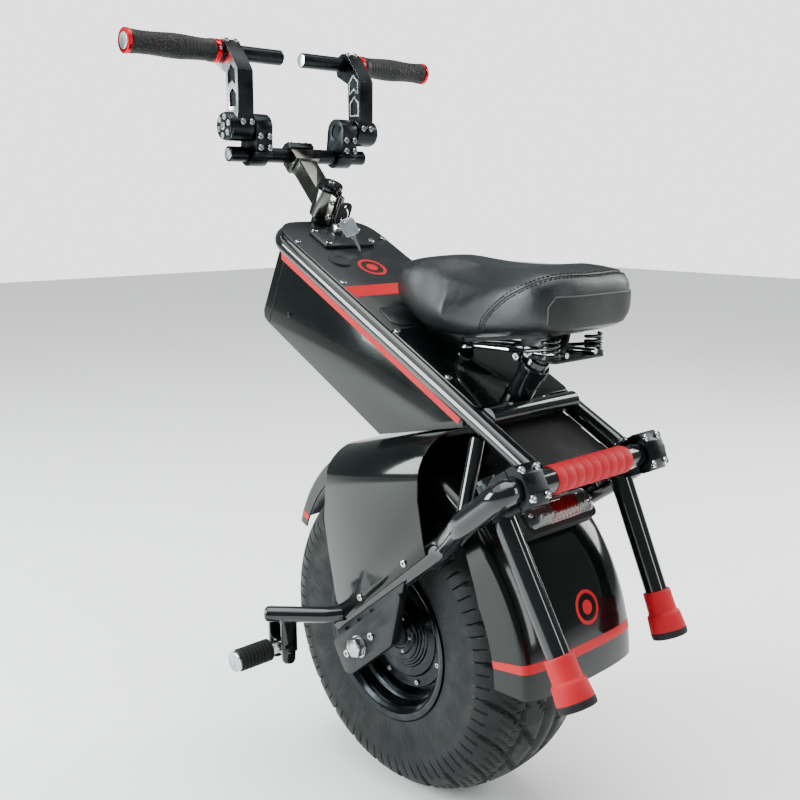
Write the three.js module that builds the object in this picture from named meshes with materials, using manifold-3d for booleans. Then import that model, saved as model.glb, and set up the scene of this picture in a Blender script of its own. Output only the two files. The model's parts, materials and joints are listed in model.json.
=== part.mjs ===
// A seated self-balancing unicycle: a fat-tyred hub-motor wheel in a tube frame, with a battery case,
// a saddle, foot pegs, two rear prop legs and a handlebar on two riser arms.
// Millimetres. X is the rider's left, -Y is forward, +Z is up.
// Every piece is placed from the axle's centre; the outer group moves that centre to the part's origin,
// which lies on the ground under the middle of the whole machine.
import * as THREE from "three";
import { mergeVertices } from "three/addons/utils/BufferGeometryUtils.js";
import Module from "manifold-3d";

const wasm = await Module();
wasm.setup();

const V = (x, y, z) => new THREE.Vector3(x, y, z);

// ---------------------------------------------------------------- driving dimensions
const GAP = 0.3; // between pieces that touch
const TYRE_RADIUS = 233;
const TYRE_HALF_WIDTH = 96.5;
const RIM_RADIUS = 117.5;
const RIM_HALF_WIDTH = 92.8;
const AXLE_RADIUS = 12.5;
const AXLE_END_RADIUS = 8;

const DECK_SLOPE = THREE.MathUtils.degToRad(26.7); // the upper tubes fall to the rear
const DECK_HEIGHT = 416.3; // of the upper tubes' plane over the axle
const UPPER_TUBE_RADIUS = 12.5;
const UPPER_TUBE_X = 84;
const HOOP_FRONT = -288; // along the deck
const HOOP_BEND = 45;

const LOWER_TUBE_RADIUS = 15.5;
const LOWER_TUBE_X = 117; // beside the tyre
const LOWER_TUBE_REAR_X = 149; // outside the leg clamps
const LOWER_TUBE_RISE = 0.81; // height gained per length
const LOWER_TUBE_HEIGHT = 60.8; // over the axle
const LOWER_TUBE_FRONT = -62;
const CROSS_TUBE_RADIUS = 15.9;
const CROSS_TUBE_HALF = 165;
const CROSS_TUBE = [266, 278]; // Y, Z of its centre line

const PLATE_INNER_X = 122; // axle plates
const PLATE_OUTER_X = 136;

const LEG_RADIUS = 14.3;
const LEG_X = 115;
const LEG_OFFSET = 45.7; // leg's centre line from the cross tube's
const LEG_ANGLE = { 1: -58.6, "-1": -65.7 }; // degrees under the rear horizontal, left and right
const LEG_CUP = { 1: 184, "-1": 173 }; // along the leg, where the foot starts

const HANDLEBAR_RADIUS = 11.1;
const CROSSBAR = [-303.6, 658.8];
const RISER_HUB = [-295, 697];
const GRIP_BAR = [-318, 803];

const PEG_PIVOT = V(189, -105, -18);

const ORIGIN_FORWARD = -19.15; // from the middle of the machine's length to the axle

// ---------------------------------------------------------------- colours and finishes
const finish = (color, roughness, metalness) => ({ color, roughness, metalness });
const FINISH = {
  glossBlack: finish(0x101112, 0.12, 0.2),
  tubeBlack: finish(0x131415, 0.18, 0.6),
  anodised: finish(0x17191b, 0.38, 0.8),
  rubber: finish(0x1b1c1d, 0.85, 0),
  tyre: finish(0x222426, 0.9, 0),
  leather: finish(0x202224, 0.55, 0),
  red: finish(0xc4262e, 0.5, 0),
  redRubber: finish(0xc8323a, 0.7, 0),
  redLens: finish(0x8a1712, 0.15, 0),
  chrome: finish(0xd8dadc, 0.12, 1),
  steel: finish(0x9a9da0, 0.35, 1),
  cast: finish(0x2a2c2e, 0.45, 0.7),
  copper: finish(0xa8602c, 0.4, 0.9),
  blueWrap: finish(0x1d4e86, 0.45, 0),
};

// ---------------------------------------------------------------- solids, joins and cuts
// The same triangles with their outer sides outward.
function outward(geometry) {
  const bare = geometry.index ? geometry.toNonIndexed() : geometry.clone();
  bare.deleteAttribute("normal");
  bare.deleteAttribute("uv");
  const spots = bare.attributes.position;
  const corner = [V(0, 0, 0), V(0, 0, 0), V(0, 0, 0)];
  let volume = 0;
  for (let i = 0; i < spots.count; i += 3) {
    corner.forEach((point, k) => point.fromBufferAttribute(spots, i + k));
    volume += corner[0].dot(corner[1].clone().cross(corner[2]));
  }
  if (volume < 0) {
    for (let i = 0; i < spots.count; i += 3) {
      corner.forEach((point, k) => point.fromBufferAttribute(spots, i + k));
      spots.setXYZ(i + 1, ...corner[2].toArray());
      spots.setXYZ(i + 2, ...corner[1].toArray());
    }
  }
  return mergeVertices(bare, 1e-3);
}

function solid(geometry) {
  const merged = outward(geometry);
  return new wasm.Manifold(
    new wasm.Mesh({
      numProp: 3,
      vertProperties: merged.attributes.position.array,
      triVerts: new Uint32Array(merged.index.array),
    }),
  );
}

function geometryOf(manifold) {
  const mesh = manifold.getMesh();
  const geometry = new THREE.BufferGeometry();
  geometry.setAttribute("position", new THREE.BufferAttribute(mesh.vertProperties, mesh.numProp));
  geometry.setIndex(new THREE.BufferAttribute(mesh.triVerts, 1));
  return geometry;
}

function join(...geometries) {
  const solids = geometries.map(solid);
  return geometryOf(solids.reduce((all, next) => all.add(next)));
}

function cut(geometry, ...tools) {
  const solids = tools.map(solid);
  return geometryOf(solids.reduce((rest, tool) => rest.subtract(tool), solid(geometry)));
}

function overlapOf(first, second) {
  return geometryOf(solid(first).intersect(solid(second)));
}

// ---------------------------------------------------------------- frames to draw in
// A drawing's own x, y and thickness directions, and where its origin lies.
function frameMatrix(x, y, z, origin) {
  const matrix = new THREE.Matrix4().makeBasis(x, y, z);
  return matrix.setPosition(origin);
}

// Side view: drawn in (Y, Z), thickness along +X.
const SIDE = frameMatrix(V(0, 1, 0), V(0, 0, 1), V(1, 0, 0), V(0, 0, 0));

// Deck: drawn in (X, distance down the slope), thickness along the deck's normal.
const DECK_ALONG = V(0, Math.cos(DECK_SLOPE), -Math.sin(DECK_SLOPE));
const DECK_UP = V(0, Math.sin(DECK_SLOPE), Math.cos(DECK_SLOPE));
const DECK = frameMatrix(V(1, 0, 0), DECK_ALONG, DECK_UP, V(0, 0, DECK_HEIGHT));

function deckPoint(x, along, up) {
  return V(x, along, up).applyMatrix4(DECK);
}

// ---------------------------------------------------------------- basic forms
function outline(points) {
  return new THREE.Shape(points.map(([x, y]) => new THREE.Vector2(x, y)));
}

// An outline with each corner rounded: points are [x, y, radius].
function roundedOutline(points) {
  const shape = new THREE.Shape();
  const count = points.length;
  points.forEach(([x, y, radius = 0], i) => {
    const corner = new THREE.Vector2(x, y);
    const before = new THREE.Vector2(...points[(i + count - 1) % count]).sub(corner);
    const after = new THREE.Vector2(...points[(i + 1) % count]).sub(corner);
    const half = before.angleTo(after) / 2;
    const reach = radius / Math.tan(half);
    const start = before.setLength(Math.max(reach, 1e-4)).add(corner);
    const end = after.setLength(Math.max(reach, 1e-4)).add(corner);
    if (i === 0) shape.moveTo(start.x, start.y);
    else shape.lineTo(start.x, start.y);
    if (radius > 0) shape.quadraticCurveTo(x, y, end.x, end.y);
  });
  shape.closePath();
  return shape;
}

function circleHole(x, y, radius) {
  const hole = new THREE.Path();
  hole.absarc(x, y, radius, 0, Math.PI * 2, true);
  return hole;
}

// A flat plate of a drawn shape, from one level to another along the frame's third direction.
function plate(shape, low, high, matrix, curveSegments = 4) {
  const geometry = new THREE.ExtrudeGeometry(shape, {
    depth: high - low,
    bevelEnabled: false,
    curveSegments,
  });
  return geometry.translate(0, 0, low).applyMatrix4(matrix);
}

// A straight round bar between two points.
function rod(from, to, radius, sides = 16, endRadius = radius) {
  const along = to.clone().sub(from);
  const geometry = new THREE.CylinderGeometry(endRadius, radius, along.length(), sides);
  geometry.translate(0, along.length() / 2, 0);
  const turn = new THREE.Quaternion().setFromUnitVectors(V(0, 1, 0), along.normalize());
  return geometry.applyQuaternion(turn).translate(from.x, from.y, from.z);
}

const rodX = (x0, x1, [y, z], radius, sides = 16) => rod(V(x0, y, z), V(x1, y, z), radius, sides);

// A body of revolution about a line parallel to X: profile points are [x, radius].
function turned(profile, [y, z] = [0, 0], sides = 32) {
  const points = profile.map(([x, radius]) => new THREE.Vector2(radius, x));
  points.push(points[0].clone());
  const geometry = new THREE.LatheGeometry(points, sides);
  return geometry.rotateZ(-Math.PI / 2).translate(0, y, z);
}

// A body of revolution about any line: profile points are [distance along the line, radius].
function turnedAlong(profile, origin, direction, sides = 20) {
  const turn = new THREE.Quaternion().setFromUnitVectors(V(1, 0, 0), direction.clone().normalize());
  const geometry = turned(profile, [0, 0], sides).applyQuaternion(turn);
  return geometry.translate(origin.x, origin.y, origin.z);
}

// A ring or sleeve about a line parallel to X.
const sleeveX = (x0, x1, centre, inner, outer, sides = 16) =>
  turned([[x0, inner], [x1, inner], [x1, outer], [x0, outer]], centre, sides);

function block(size, centre, matrix = new THREE.Matrix4()) {
  return new THREE.BoxGeometry(...size).translate(...centre).applyMatrix4(matrix);
}

// A path of straight runs joined by round bends. Its sections stand only where the tube starts,
// ends or bends, so straight runs cost nothing.
class BentPath extends THREE.Curve {
  constructor(corners, bend, steps = 4) {
    super();
    this.stations = [];
    const last = corners.length - 1;
    corners.forEach((corner, i) => {
      if (i === 0 || i === last) {
        const other = corners[i === 0 ? 1 : last - 1];
        const along = i === 0 ? other.clone().sub(corner) : corner.clone().sub(other);
        this.stations.push({ point: corner.clone(), along: along.normalize() });
        return;
      }
      const back = corners[i - 1].clone().sub(corner).normalize();
      const ahead = corners[i + 1].clone().sub(corner).normalize();
      const half = back.angleTo(ahead) / 2;
      const reach = bend / Math.tan(half);
      const toCentre = back.clone().add(ahead).normalize().multiplyScalar(bend / Math.sin(half));
      const centre = corner.clone().add(toCentre);
      const start = corner.clone().addScaledVector(back, reach).sub(centre);
      const axis = back.clone().negate().cross(ahead).normalize();
      const sweep = Math.PI - 2 * half;
      for (let k = 0; k <= steps; k += 1) {
        const angle = (sweep * k) / steps;
        const point = start.clone().applyAxisAngle(axis, angle).add(centre);
        const along = back.clone().negate().applyAxisAngle(axis, angle);
        this.stations.push({ point, along });
      }
    });
    this.steps = this.stations.length - 1;
  }

  place(t) {
    const reach = THREE.MathUtils.clamp(t, 0, 1) * this.steps;
    const index = Math.min(Math.floor(reach), this.steps - 1);
    return [this.stations[index], this.stations[index + 1], reach - index];
  }

  getPoint(t) {
    const [from, to, share] = this.place(t);
    return from.point.clone().lerp(to.point, share);
  }

  getPointAt(u) {
    return this.getPoint(u);
  }

  getTangent(t) {
    const [from, to, share] = this.place(t);
    return from.along.clone().lerp(to.along, share).normalize();
  }

  getTangentAt(u) {
    return this.getTangent(u);
  }
}

function bentTube(corners, bend, radius, sides = 14, steps = 4) {
  const path = new BentPath(corners, bend, steps);
  const ring = [];
  for (let i = 0; i < sides; i += 1) {
    const angle = (2 * Math.PI * i) / sides;
    ring.push([radius * Math.cos(angle), radius * Math.sin(angle)]);
  }
  return new THREE.ExtrudeGeometry(outline(ring), {
    steps: path.steps,
    extrudePath: path,
    bevelEnabled: false,
  });
}

// A closed skin through rings of points, with a fan at each end.
function loft(rings) {
  const positions = [];
  const count = rings[0].length;
  const triangle = (a, b, c) => positions.push(...a.toArray(), ...b.toArray(), ...c.toArray());
  for (let i = 0; i < rings.length - 1; i += 1) {
    for (let k = 0; k < count; k += 1) {
      const next = (k + 1) % count;
      triangle(rings[i][k], rings[i][next], rings[i + 1][k]);
      triangle(rings[i][next], rings[i + 1][next], rings[i + 1][k]);
    }
  }
  const cap = (ring, flip) => {
    const middle = V(0, 0, 0);
    ring.forEach((point) => middle.addScaledVector(point, 1 / count));
    for (let k = 0; k < count; k += 1) {
      const next = (k + 1) % count;
      if (flip) triangle(middle, ring[next], ring[k]);
      else triangle(middle, ring[k], ring[next]);
    }
  };
  cap(rings[0], true);
  cap(rings[rings.length - 1], false);
  const geometry = new THREE.BufferGeometry();
  geometry.setAttribute("position", new THREE.Float32BufferAttribute(positions, 3));
  return geometry;
}

// ---------------------------------------------------------------- the assembly
const vehicle = new THREE.Group();

function add(name, geometry, look) {
  const mesh = new THREE.Mesh(outward(geometry), new THREE.MeshStandardMaterial(look));
  mesh.name = name;
  vehicle.add(mesh);
  return mesh;
}

// Left and right copies of one piece: make(side) draws it for side +1 (left) or -1 (right).
function pair(name, make, look) {
  add("left_" + name, make(1), look);
  add("right_" + name, make(-1), look);
}

// ---------------------------------------------------------------- wheel and hub motor
const WHEEL_SIDES = 32; // alike on every piece of the wheel, so that neighbours' facets line up
const SECTION_CENTRE = 172; // radius where the tyre is widest
const SECTION_POWER = 2 / 2.27;

// Half a turn of a squarish oval over the widest line, from the left side to the right.
function tyreCrown(halfWidth, halfHeight, steps) {
  const points = [];
  for (let i = 0; i <= steps; i += 1) {
    const angle = (Math.PI * i) / steps;
    const across = Math.sign(Math.cos(angle)) * Math.abs(Math.cos(angle)) ** SECTION_POWER;
    const up = Math.sin(angle) ** SECTION_POWER;
    points.push([halfWidth * across, SECTION_CENTRE + halfHeight * up]);
  }
  return points;
}

const mirrored = (points) => points.map(([x, r]) => [-x, r]).reverse();

function makeTyre() {
  const crown = TYRE_RADIUS - SECTION_CENTRE;
  const sidewall = [[95.2, 136], [91.8, 118.2], [89.2, 118.2], [86.2, 107.4], [71, 104.4]];
  const inside = [[76, 112], [84, 130]];
  const outer = [...mirrored(sidewall), ...tyreCrown(-TYRE_HALF_WIDTH, crown, 12), ...sidewall];
  const inner = [...inside, ...tyreCrown(TYRE_HALF_WIDTH - 11, crown - 11, 6), ...mirrored(inside)];
  return turned([...outer, ...inner], [0, 0], WHEEL_SIDES);
}

function makeRim() {
  const half = [
    [RIM_HALF_WIDTH, RIM_RADIUS],
    [RIM_HALF_WIDTH, RIM_RADIUS - 9],
    [88, 101],
    [70, 98],
    [60, 89.3],
    [46, 89.3],
    [46, 80],
  ];
  const outer = [
    [60, 95],
    [70, 104],
    [86.5, 107],
    [89.5, RIM_RADIUS],
  ];
  return turned([...half, ...mirrored(half), ...mirrored(outer), ...outer], [0, 0], WHEEL_SIDES);
}

function makeMotorCover(side) {
  const bore = AXLE_RADIUS + GAP;
  const profile = [
    [46.3, bore], [46.3, 89], [52, 89], [54, 84], [54, 69], [58, 65],
    [58, 52], [66, 45], [70, 38], [70, bore],
  ];
  return turned(profile.map(([x, r]) => [side * x, r]), [0, 0], WHEEL_SIDES);
}

add("tyre", makeTyre(), FINISH.tyre);
add("wheel_rim", makeRim(), FINISH.cast);
pair("motor_cover", makeMotorCover, FINISH.cast);
add(
  "motor_stator",
  turned([[-30, 13], [30, 13], [30, 40], [22, 46], [22, 76], [-22, 76], [-22, 46], [-30, 40]], [0, 0], 20),
  FINISH.copper,
);

// ---------------------------------------------------------------- axle and its plates
function makeAxle() {
  const shoulder = PLATE_INNER_X - GAP;
  const end = PLATE_OUTER_X + 8;
  const half = [[shoulder, AXLE_RADIUS], [shoulder, AXLE_END_RADIUS], [end, AXLE_END_RADIUS], [end, 0]];
  return turned([...mirrored(half), ...half], [0, 0], 20);
}

// The upper edge reaches the lower tube on the plate's inner half, and is set back on the outer half.
function makeAxlePlate(side) {
  const lower = [[65, 23.5, 12], [-17.5, -47.5, 10], [-32.5, -50.5, 8], [-58.5, -12.5, 8]];
  const outerHalf = roundedOutline([[85, 106.5, 6], ...lower]);
  const innerHalf = roundedOutline([[84, 124, 2], ...lower.slice(0, 3), [-58.5, -12.5, 2], [-60, 8, 2]]);
  const step = PLATE_OUTER_X - 7;
  const span = (low, high) => (side > 0 ? [low, high] : [-high, -low]);
  const whole = join(
    plate(innerHalf, ...span(PLATE_INNER_X, step), SIDE),
    plate(outerHalf, ...span(step - 1, PLATE_OUTER_X), SIDE),
  );
  const bore = rodX(side * 100, side * 150, [0, 0], AXLE_END_RADIUS + GAP, 20);
  return cut(whole, bore, lowerTubeSide(side, LOWER_TUBE_RADIUS + GAP));
}

function makeAxleNut(side) {
  const hexagon = rodX(side * (PLATE_OUTER_X + GAP), side * (PLATE_OUTER_X + 13), [0, 0], 14, 6);
  const bore = rodX(side * 130, side * (PLATE_OUTER_X + 9), [0, 0], AXLE_END_RADIUS + GAP, 20);
  return cut(hexagon, bore);
}

// ---------------------------------------------------------------- frame tubes
const lowerTubeHeight = (y) => LOWER_TUBE_HEIGHT + LOWER_TUBE_RISE * y;

function lowerTubeSide(side, radius) {
  const corners = [
    V(side * LOWER_TUBE_X, LOWER_TUBE_FRONT, lowerTubeHeight(LOWER_TUBE_FRONT)),
    V(side * LOWER_TUBE_X, 146, lowerTubeHeight(146)),
    V(side * LOWER_TUBE_REAR_X, 205, lowerTubeHeight(205)),
    V(side * LOWER_TUBE_REAR_X, CROSS_TUBE[0] - 6, lowerTubeHeight(CROSS_TUBE[0] - 6)),
  ];
  return bentTube(corners, 60, radius, 16, 3);
}

function makeLowerFrame() {
  const cross = rodX(-CROSS_TUBE_HALF, CROSS_TUBE_HALF, CROSS_TUBE, CROSS_TUBE_RADIUS, 20);
  return join(cross, lowerTubeSide(1, LOWER_TUBE_RADIUS), lowerTubeSide(-1, LOWER_TUBE_RADIUS));
}

const crossTubeCut = () => rodX(-170, 170, CROSS_TUBE, CROSS_TUBE_RADIUS + GAP, 20);

function upperTube(radius) {
  const corners = [
    deckPoint(-UPPER_TUBE_X, 289, 0),
    deckPoint(-UPPER_TUBE_X, HOOP_FRONT, 0),
    deckPoint(UPPER_TUBE_X, HOOP_FRONT, 0),
    deckPoint(UPPER_TUBE_X, 289, 0),
  ];
  return bentTube(corners, HOOP_BEND, radius, 14, 5);
}

function makeStrut(side) {
  const strut = rod(V(side * 89, 168, 318), V(side * 131, 186, 214), 9, 14);
  return cut(strut, upperTube(UPPER_TUBE_RADIUS + GAP), lowerTubeSide(side, LOWER_TUBE_RADIUS + GAP));
}

const SEAT_AXIS = V(0, 0.551, 0.8345);
const SEAT_BASE = V(0, 150, 345);
const seatPoint = (along) => SEAT_BASE.clone().addScaledVector(SEAT_AXIS, along);
const SEAT_MEMBER = [178, 338]; // cross member behind the seat tube

// The seat tube welded to the front of its cross member.
function makeSeatTube() {
  const outerProfile = [[-12, 0], [-12, 17], [46, 17], [46, 19], [60, 19], [60, 0]];
  const outer = turnedAlong(outerProfile, SEAT_BASE, SEAT_AXIS);
  const member = rodX(-UPPER_TUBE_X, UPPER_TUBE_X, SEAT_MEMBER, 12, 16);
  const bore = rod(seatPoint(-20), seatPoint(80), 14.6, 20);
  return cut(join(outer, member), bore, upperTube(UPPER_TUBE_RADIUS + GAP));
}

add("axle", makeAxle(), FINISH.steel);
pair("axle_plate", makeAxlePlate, FINISH.anodised);
pair("axle_nut", makeAxleNut, FINISH.steel);
add("lower_frame_tube", makeLowerFrame(), FINISH.tubeBlack);
add("upper_frame_tube", cut(upperTube(UPPER_TUBE_RADIUS), crossTubeCut()), FINISH.tubeBlack);
pair("frame_strut", makeStrut, FINISH.tubeBlack);
add("seat_tube", makeSeatTube(), FINISH.tubeBlack);

add("cross_tube_grip", sleeveX(-71, 71, CROSS_TUBE, CROSS_TUBE_RADIUS + GAP, 17.4, 20), FINISH.redRubber);

// ---------------------------------------------------------------- foot pegs
function pegArmPath(side, radius) {
  const corners = [V(side * 117, -36, 32), V(side * 151, -53, 32), V(side * 207, -111, 31)];
  return bentTube(corners, 25, radius, 14, 4);
}

// A bent arm with a two-cheeked bracket hanging under its end, and the pivot pin pressed across it.
function makePegArm(side) {
  const { y, z } = PEG_PIVOT;
  const facing = frameMatrix(V(side, 0, 0), V(0, 0, 1), V(0, -side, 0), V(0, 0, 0));
  const cheek = roundedOutline([[176, 28, 4], [201, 28, 4], [200, z - 20, 10], [180, z - 26, 8]]);
  const level = (low, high) => (side > 0 ? [-high, -low] : [low, high]);
  const cheeks = [-1, 1].map((end) => {
    const low = end > 0 ? y + 13 : y - 17;
    return plate(cheek, ...level(low, low + 4), facing);
  });
  const web = block([4, 34, 50], [side * 178, y, 0]);
  const roof = block([25, 34, 6], [side * 188.5, y, 25]);
  const pin = rod(V(side * PEG_PIVOT.x, y - 20, z), V(side * PEG_PIVOT.x, y + 20, z), 4, 12);
  const whole = join(pegArmPath(side, 11), ...cheeks, web, roof, pin);
  return cut(whole, lowerTubeSide(side, LOWER_TUBE_RADIUS + GAP));
}

function makePeg(side) {
  const { x, y, z } = PEG_PIVOT;
  const tongue = block([8, 24, 17.2], [side * (x + 4), y, z]);
  const tongueEnd = rod(V(side * x, y - 12, z), V(side * x, y + 12, z), 8.6, 20);
  const stem = rodX(side * (x + 4), side * 268, [y, z], 9, 16);
  const cap = rodX(side * 264, side * 269, [y, z], 13.5, 20);
  const pinHole = rod(V(side * x, y - 25, z), V(side * x, y + 25, z), 4 + GAP, 12);
  return cut(join(tongue, tongueEnd, stem, cap), pinHole);
}

function makePegRubber(side) {
  const { y, z } = PEG_PIVOT;
  return sleeveX(side * 212, side * 263.5, [y, z], 9 + GAP, 15.5, 20);
}

pair("peg_arm", makePegArm, FINISH.tubeBlack);
pair("foot_peg", makePeg, FINISH.steel);
pair("peg_rubber", makePegRubber, FINISH.rubber);

// ---------------------------------------------------------------- shrouds and fenders
// A thick sheet between two grids of points with the same rows and columns.
function sheet(top, bottom) {
  const positions = [];
  const quad = (a, b, c, d) => {
    [a, b, c, a, c, d].forEach((point) => positions.push(...point.toArray()));
  };
  const rows = top.length - 1;
  const columns = top[0].length - 1;
  for (let i = 0; i < rows; i += 1) {
    for (let k = 0; k < columns; k += 1) {
      quad(top[i][k], top[i + 1][k], top[i + 1][k + 1], top[i][k + 1]);
      quad(bottom[i][k], bottom[i][k + 1], bottom[i + 1][k + 1], bottom[i + 1][k]);
    }
    quad(top[i][0], bottom[i][0], bottom[i + 1][0], top[i + 1][0]);
    quad(top[i + 1][columns], bottom[i + 1][columns], bottom[i][columns], top[i][columns]);
  }
  for (let k = 0; k < columns; k += 1) {
    quad(top[0][k + 1], bottom[0][k + 1], bottom[0][k], top[0][k]);
    quad(top[rows][k], bottom[rows][k], bottom[rows][k + 1], top[rows][k + 1]);
  }
  const geometry = new THREE.BufferGeometry();
  geometry.setAttribute("position", new THREE.Float32BufferAttribute(positions, 3));
  return geometry;
}

// A fender swept round the wheel: each section has its angle over the horizontal, crown radius,
// half width, shoulder drop and skirt depth, all seen from a centre [Y, Z].
function fender(sections, [centreY, centreZ], thickness) {
  const row = ({ angle, crown, half, drop, skirt }, inset) => {
    const w = half - inset;
    const r = crown - inset;
    const edge = [[w, r - drop - skirt], [w, r - drop]];
    const side = [...edge, [w * 0.93, r - drop * 0.5], [w * 0.62, r - drop * 0.12]];
    const points = [...mirrored(side).reverse(), [0, r], ...[...side].reverse()];
    const turn = THREE.MathUtils.degToRad(angle);
    return points.map(([x, out]) => V(x, centreY + out * Math.cos(turn), centreZ + out * Math.sin(turn)));
  };
  const withSkirt = (section, inset) => row({ ...section, skirt: section.skirt - inset }, inset);
  return sheet(sections.map((s) => row(s, 0)), sections.map((s) => withSkirt(s, thickness)));
}

function makeRearFender() {
  const sections = [];
  for (let i = 0; i <= 14; i += 1) {
    const angle = 84 - (81 * i) / 14;
    const half = THREE.MathUtils.clamp(104 - (angle - 40) * 0.4, 99, 104);
    const skirt = THREE.MathUtils.clamp(44 - Math.max(0, angle - 30) * 1.1, 14, 44);
    sections.push({ angle, crown: 283, half, drop: 20, skirt });
  }
  return fender(sections, [0, 0], 2.5);
}

function makeFrontFender() {
  const sections = [];
  for (let i = 0; i <= 9; i += 1) {
    const angle = 104 + 6 * i;
    sections.push({ angle, crown: 263, half: 75 - 2.2 * i, drop: 12, skirt: 22 - i });
  }
  return fender(sections, [-6, 4], 2.5);
}

const SHROUD_HALF = 135.7;
const SHROUD_ROOF = 282; // over the axle
const SHROUD_CORNER = 58;
const SHROUD_SLOPE = 0.26;
const SHROUD_THICKNESS = 2.5;

function makeWheelShroud() {
  const arch = (inset, path) => {
    const half = SHROUD_HALF - inset;
    const corner = SHROUD_CORNER - inset;
    const level = SHROUD_ROOF - SHROUD_CORNER;
    path.moveTo(-half, -40);
    path.absarc(-half + corner, level, corner, Math.PI, Math.PI / 2, true);
    path.absarc(half - corner, level, corner, Math.PI / 2, 0, true);
    path.lineTo(half, -40);
    return path.getPoints(6);
  };
  const outer = arch(0, new THREE.Path());
  const inner = arch(SHROUD_THICKNESS, new THREE.Path());
  const across = frameMatrix(V(1, 0, 0), V(0, 0, 1), V(0, -1, 0), V(0, 0, 0));
  const tunnel = plate(new THREE.Shape([...outer, ...inner.reverse()]), -140, 90, across);
  const slope = new THREE.Matrix4().set(1, 0, 0, 0, 0, 1, 0, 0, 0, SHROUD_SLOPE, 1, 0, 0, 0, 0, 1);
  tunnel.applyMatrix4(slope);
  const side = outline([
    [-76, 345], [-76, 235], [-70.5, 217.5], [-74.5, 159.5], [-66.5, 117.5], [-56.5, 77], [-50, 50],
    [-30, 30], [129, 165], [124, 184], [114, 232], [114, 345],
  ]);
  const kept = overlapOf(tunnel, plate(side, -150, 150, SIDE));
  return cut(kept, pegArmPath(1, 11 + GAP), pegArmPath(-1, 11 + GAP));
}

add("wheel_shroud", makeWheelShroud(), FINISH.glossBlack);
add("front_fender", makeFrontFender(), FINISH.glossBlack);
add("rear_fender", makeRearFender(), FINISH.glossBlack);

// ---------------------------------------------------------------- tail light
const LIGHT_ANGLE = THREE.MathUtils.degToRad(44.4);
const LIGHT_OUT = V(0, Math.cos(LIGHT_ANGLE), Math.sin(LIGHT_ANGLE));
const LIGHT_UP = V(0, -Math.sin(LIGHT_ANGLE), Math.cos(LIGHT_ANGLE));
const LIGHT = frameMatrix(V(-1, 0, 0), LIGHT_UP, LIGHT_OUT, V(0, 0, 0));
const lightOutline = (half, high) =>
  roundedOutline([[-half, -high, 10], [half, -high, 10], [half, high, 10], [-half, high, 10]]);

add("tail_light_body", plate(lightOutline(65, 22.5), 284.2, 312, LIGHT), FINISH.cast);
add("tail_light_lens", plate(lightOutline(62, 20), 312.3, 329, LIGHT), FINISH.redLens);

// ---------------------------------------------------------------- battery case and its contents
// An outline moved inward by a distance, corner by corner.
function inset(points, distance) {
  const count = points.length;
  const spot = points.map(([x, y]) => new THREE.Vector2(x, y));
  const turn = Math.sign(THREE.ShapeUtils.area(spot));
  return spot.map((corner, i) => {
    const before = corner.clone().sub(spot[(i + count - 1) % count]).normalize();
    const after = spot[(i + 1) % count].clone().sub(corner).normalize();
    const normal = (edge) => new THREE.Vector2(-edge.y, edge.x).multiplyScalar(turn);
    const inward = normal(before).add(normal(after));
    const scale = (2 * distance) / inward.lengthSq();
    return [corner.x + inward.x * scale, corner.y + inward.y * scale];
  });
}

const CASE_HALF = 80;
const CASE_SIDE = [
  [-244, 523], [-291, 428], [-290, 418], [-281, 411], [-21, 282], [136, 319], [136, 332],
];

function makeBatteryCase() {
  const hollow = inset(CASE_SIDE, 3);
  const open = [...hollow.slice(1, -1), [hollow[6][0], 345], [-236, 540]];
  return cut(
    plate(outline(CASE_SIDE), -CASE_HALF, CASE_HALF, SIDE),
    plate(outline(open), -CASE_HALF + 3, CASE_HALF - 3, SIDE),
  );
}

add("battery_case", makeBatteryCase(), FINISH.glossBlack);
add("battery_pack", block([144, 186, 96], [0, -122, -72], DECK), FINISH.blueWrap);
add("motor_controller", block([120, 104, 46], [0, 38, -46], DECK), FINISH.steel);

// ---------------------------------------------------------------- covers on the upper tubes
const POST_ALONG = -289;
const POST_TOP = 75;
const postPoint = (up) => deckPoint(0, POST_ALONG, up);

function postRod(low, high, radius) {
  return rod(postPoint(low), postPoint(high), radius, 20);
}

const COVER_BOTTOM = UPPER_TUBE_RADIUS + GAP;

function makeFrontCover() {
  const shape = roundedOutline([[-86.5, 6], [86.5, 6], [86.5, -291, 45], [-86.5, -291, 45]]);
  const sheetMetal = plate(shape, COVER_BOTTOM, COVER_BOTTOM + 3, DECK, 6);
  return cut(sheetMetal, postRod(5, 60, 17));
}

add("front_cover", makeFrontCover(), FINISH.anodised);
const rearShape = roundedOutline([[-86.5, 179, 10], [86.5, 179, 10], [86.5, 6.8, 2], [-86.5, 6.8, 2]]);
const rearSheet = plate(rearShape, COVER_BOTTOM, COVER_BOTTOM + 2.5, DECK);
add("rear_cover", cut(rearSheet, rod(seatPoint(-30), seatPoint(40), 18, 20)), FINISH.glossBlack);
const dashShape = roundedOutline([[-46, -206, 5], [46, -206, 5], [46, -255, 5], [-46, -255, 5]]);
add("dash_plate", plate(dashShape, COVER_BOTTOM + 3.3, COVER_BOTTOM + 9, DECK), FINISH.anodised);

// ---------------------------------------------------------------- switch and keys
const SWITCH_ALONG = -244;
const SWITCH_TOP = 33;
const KEY_BLADE = 2.4;

function makeKeySwitch() {
  const foot = deckPoint(0, SWITCH_ALONG, COVER_BOTTOM + 9.3);
  const top = deckPoint(0, SWITCH_ALONG, SWITCH_TOP);
  const slotBottom = deckPoint(0, SWITCH_ALONG, SWITCH_TOP - 8);
  const slot = rod(slotBottom, deckPoint(0, SWITCH_ALONG, 50), KEY_BLADE + GAP, 10);
  return cut(rod(foot, top, 11, 6), slot);
}

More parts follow.
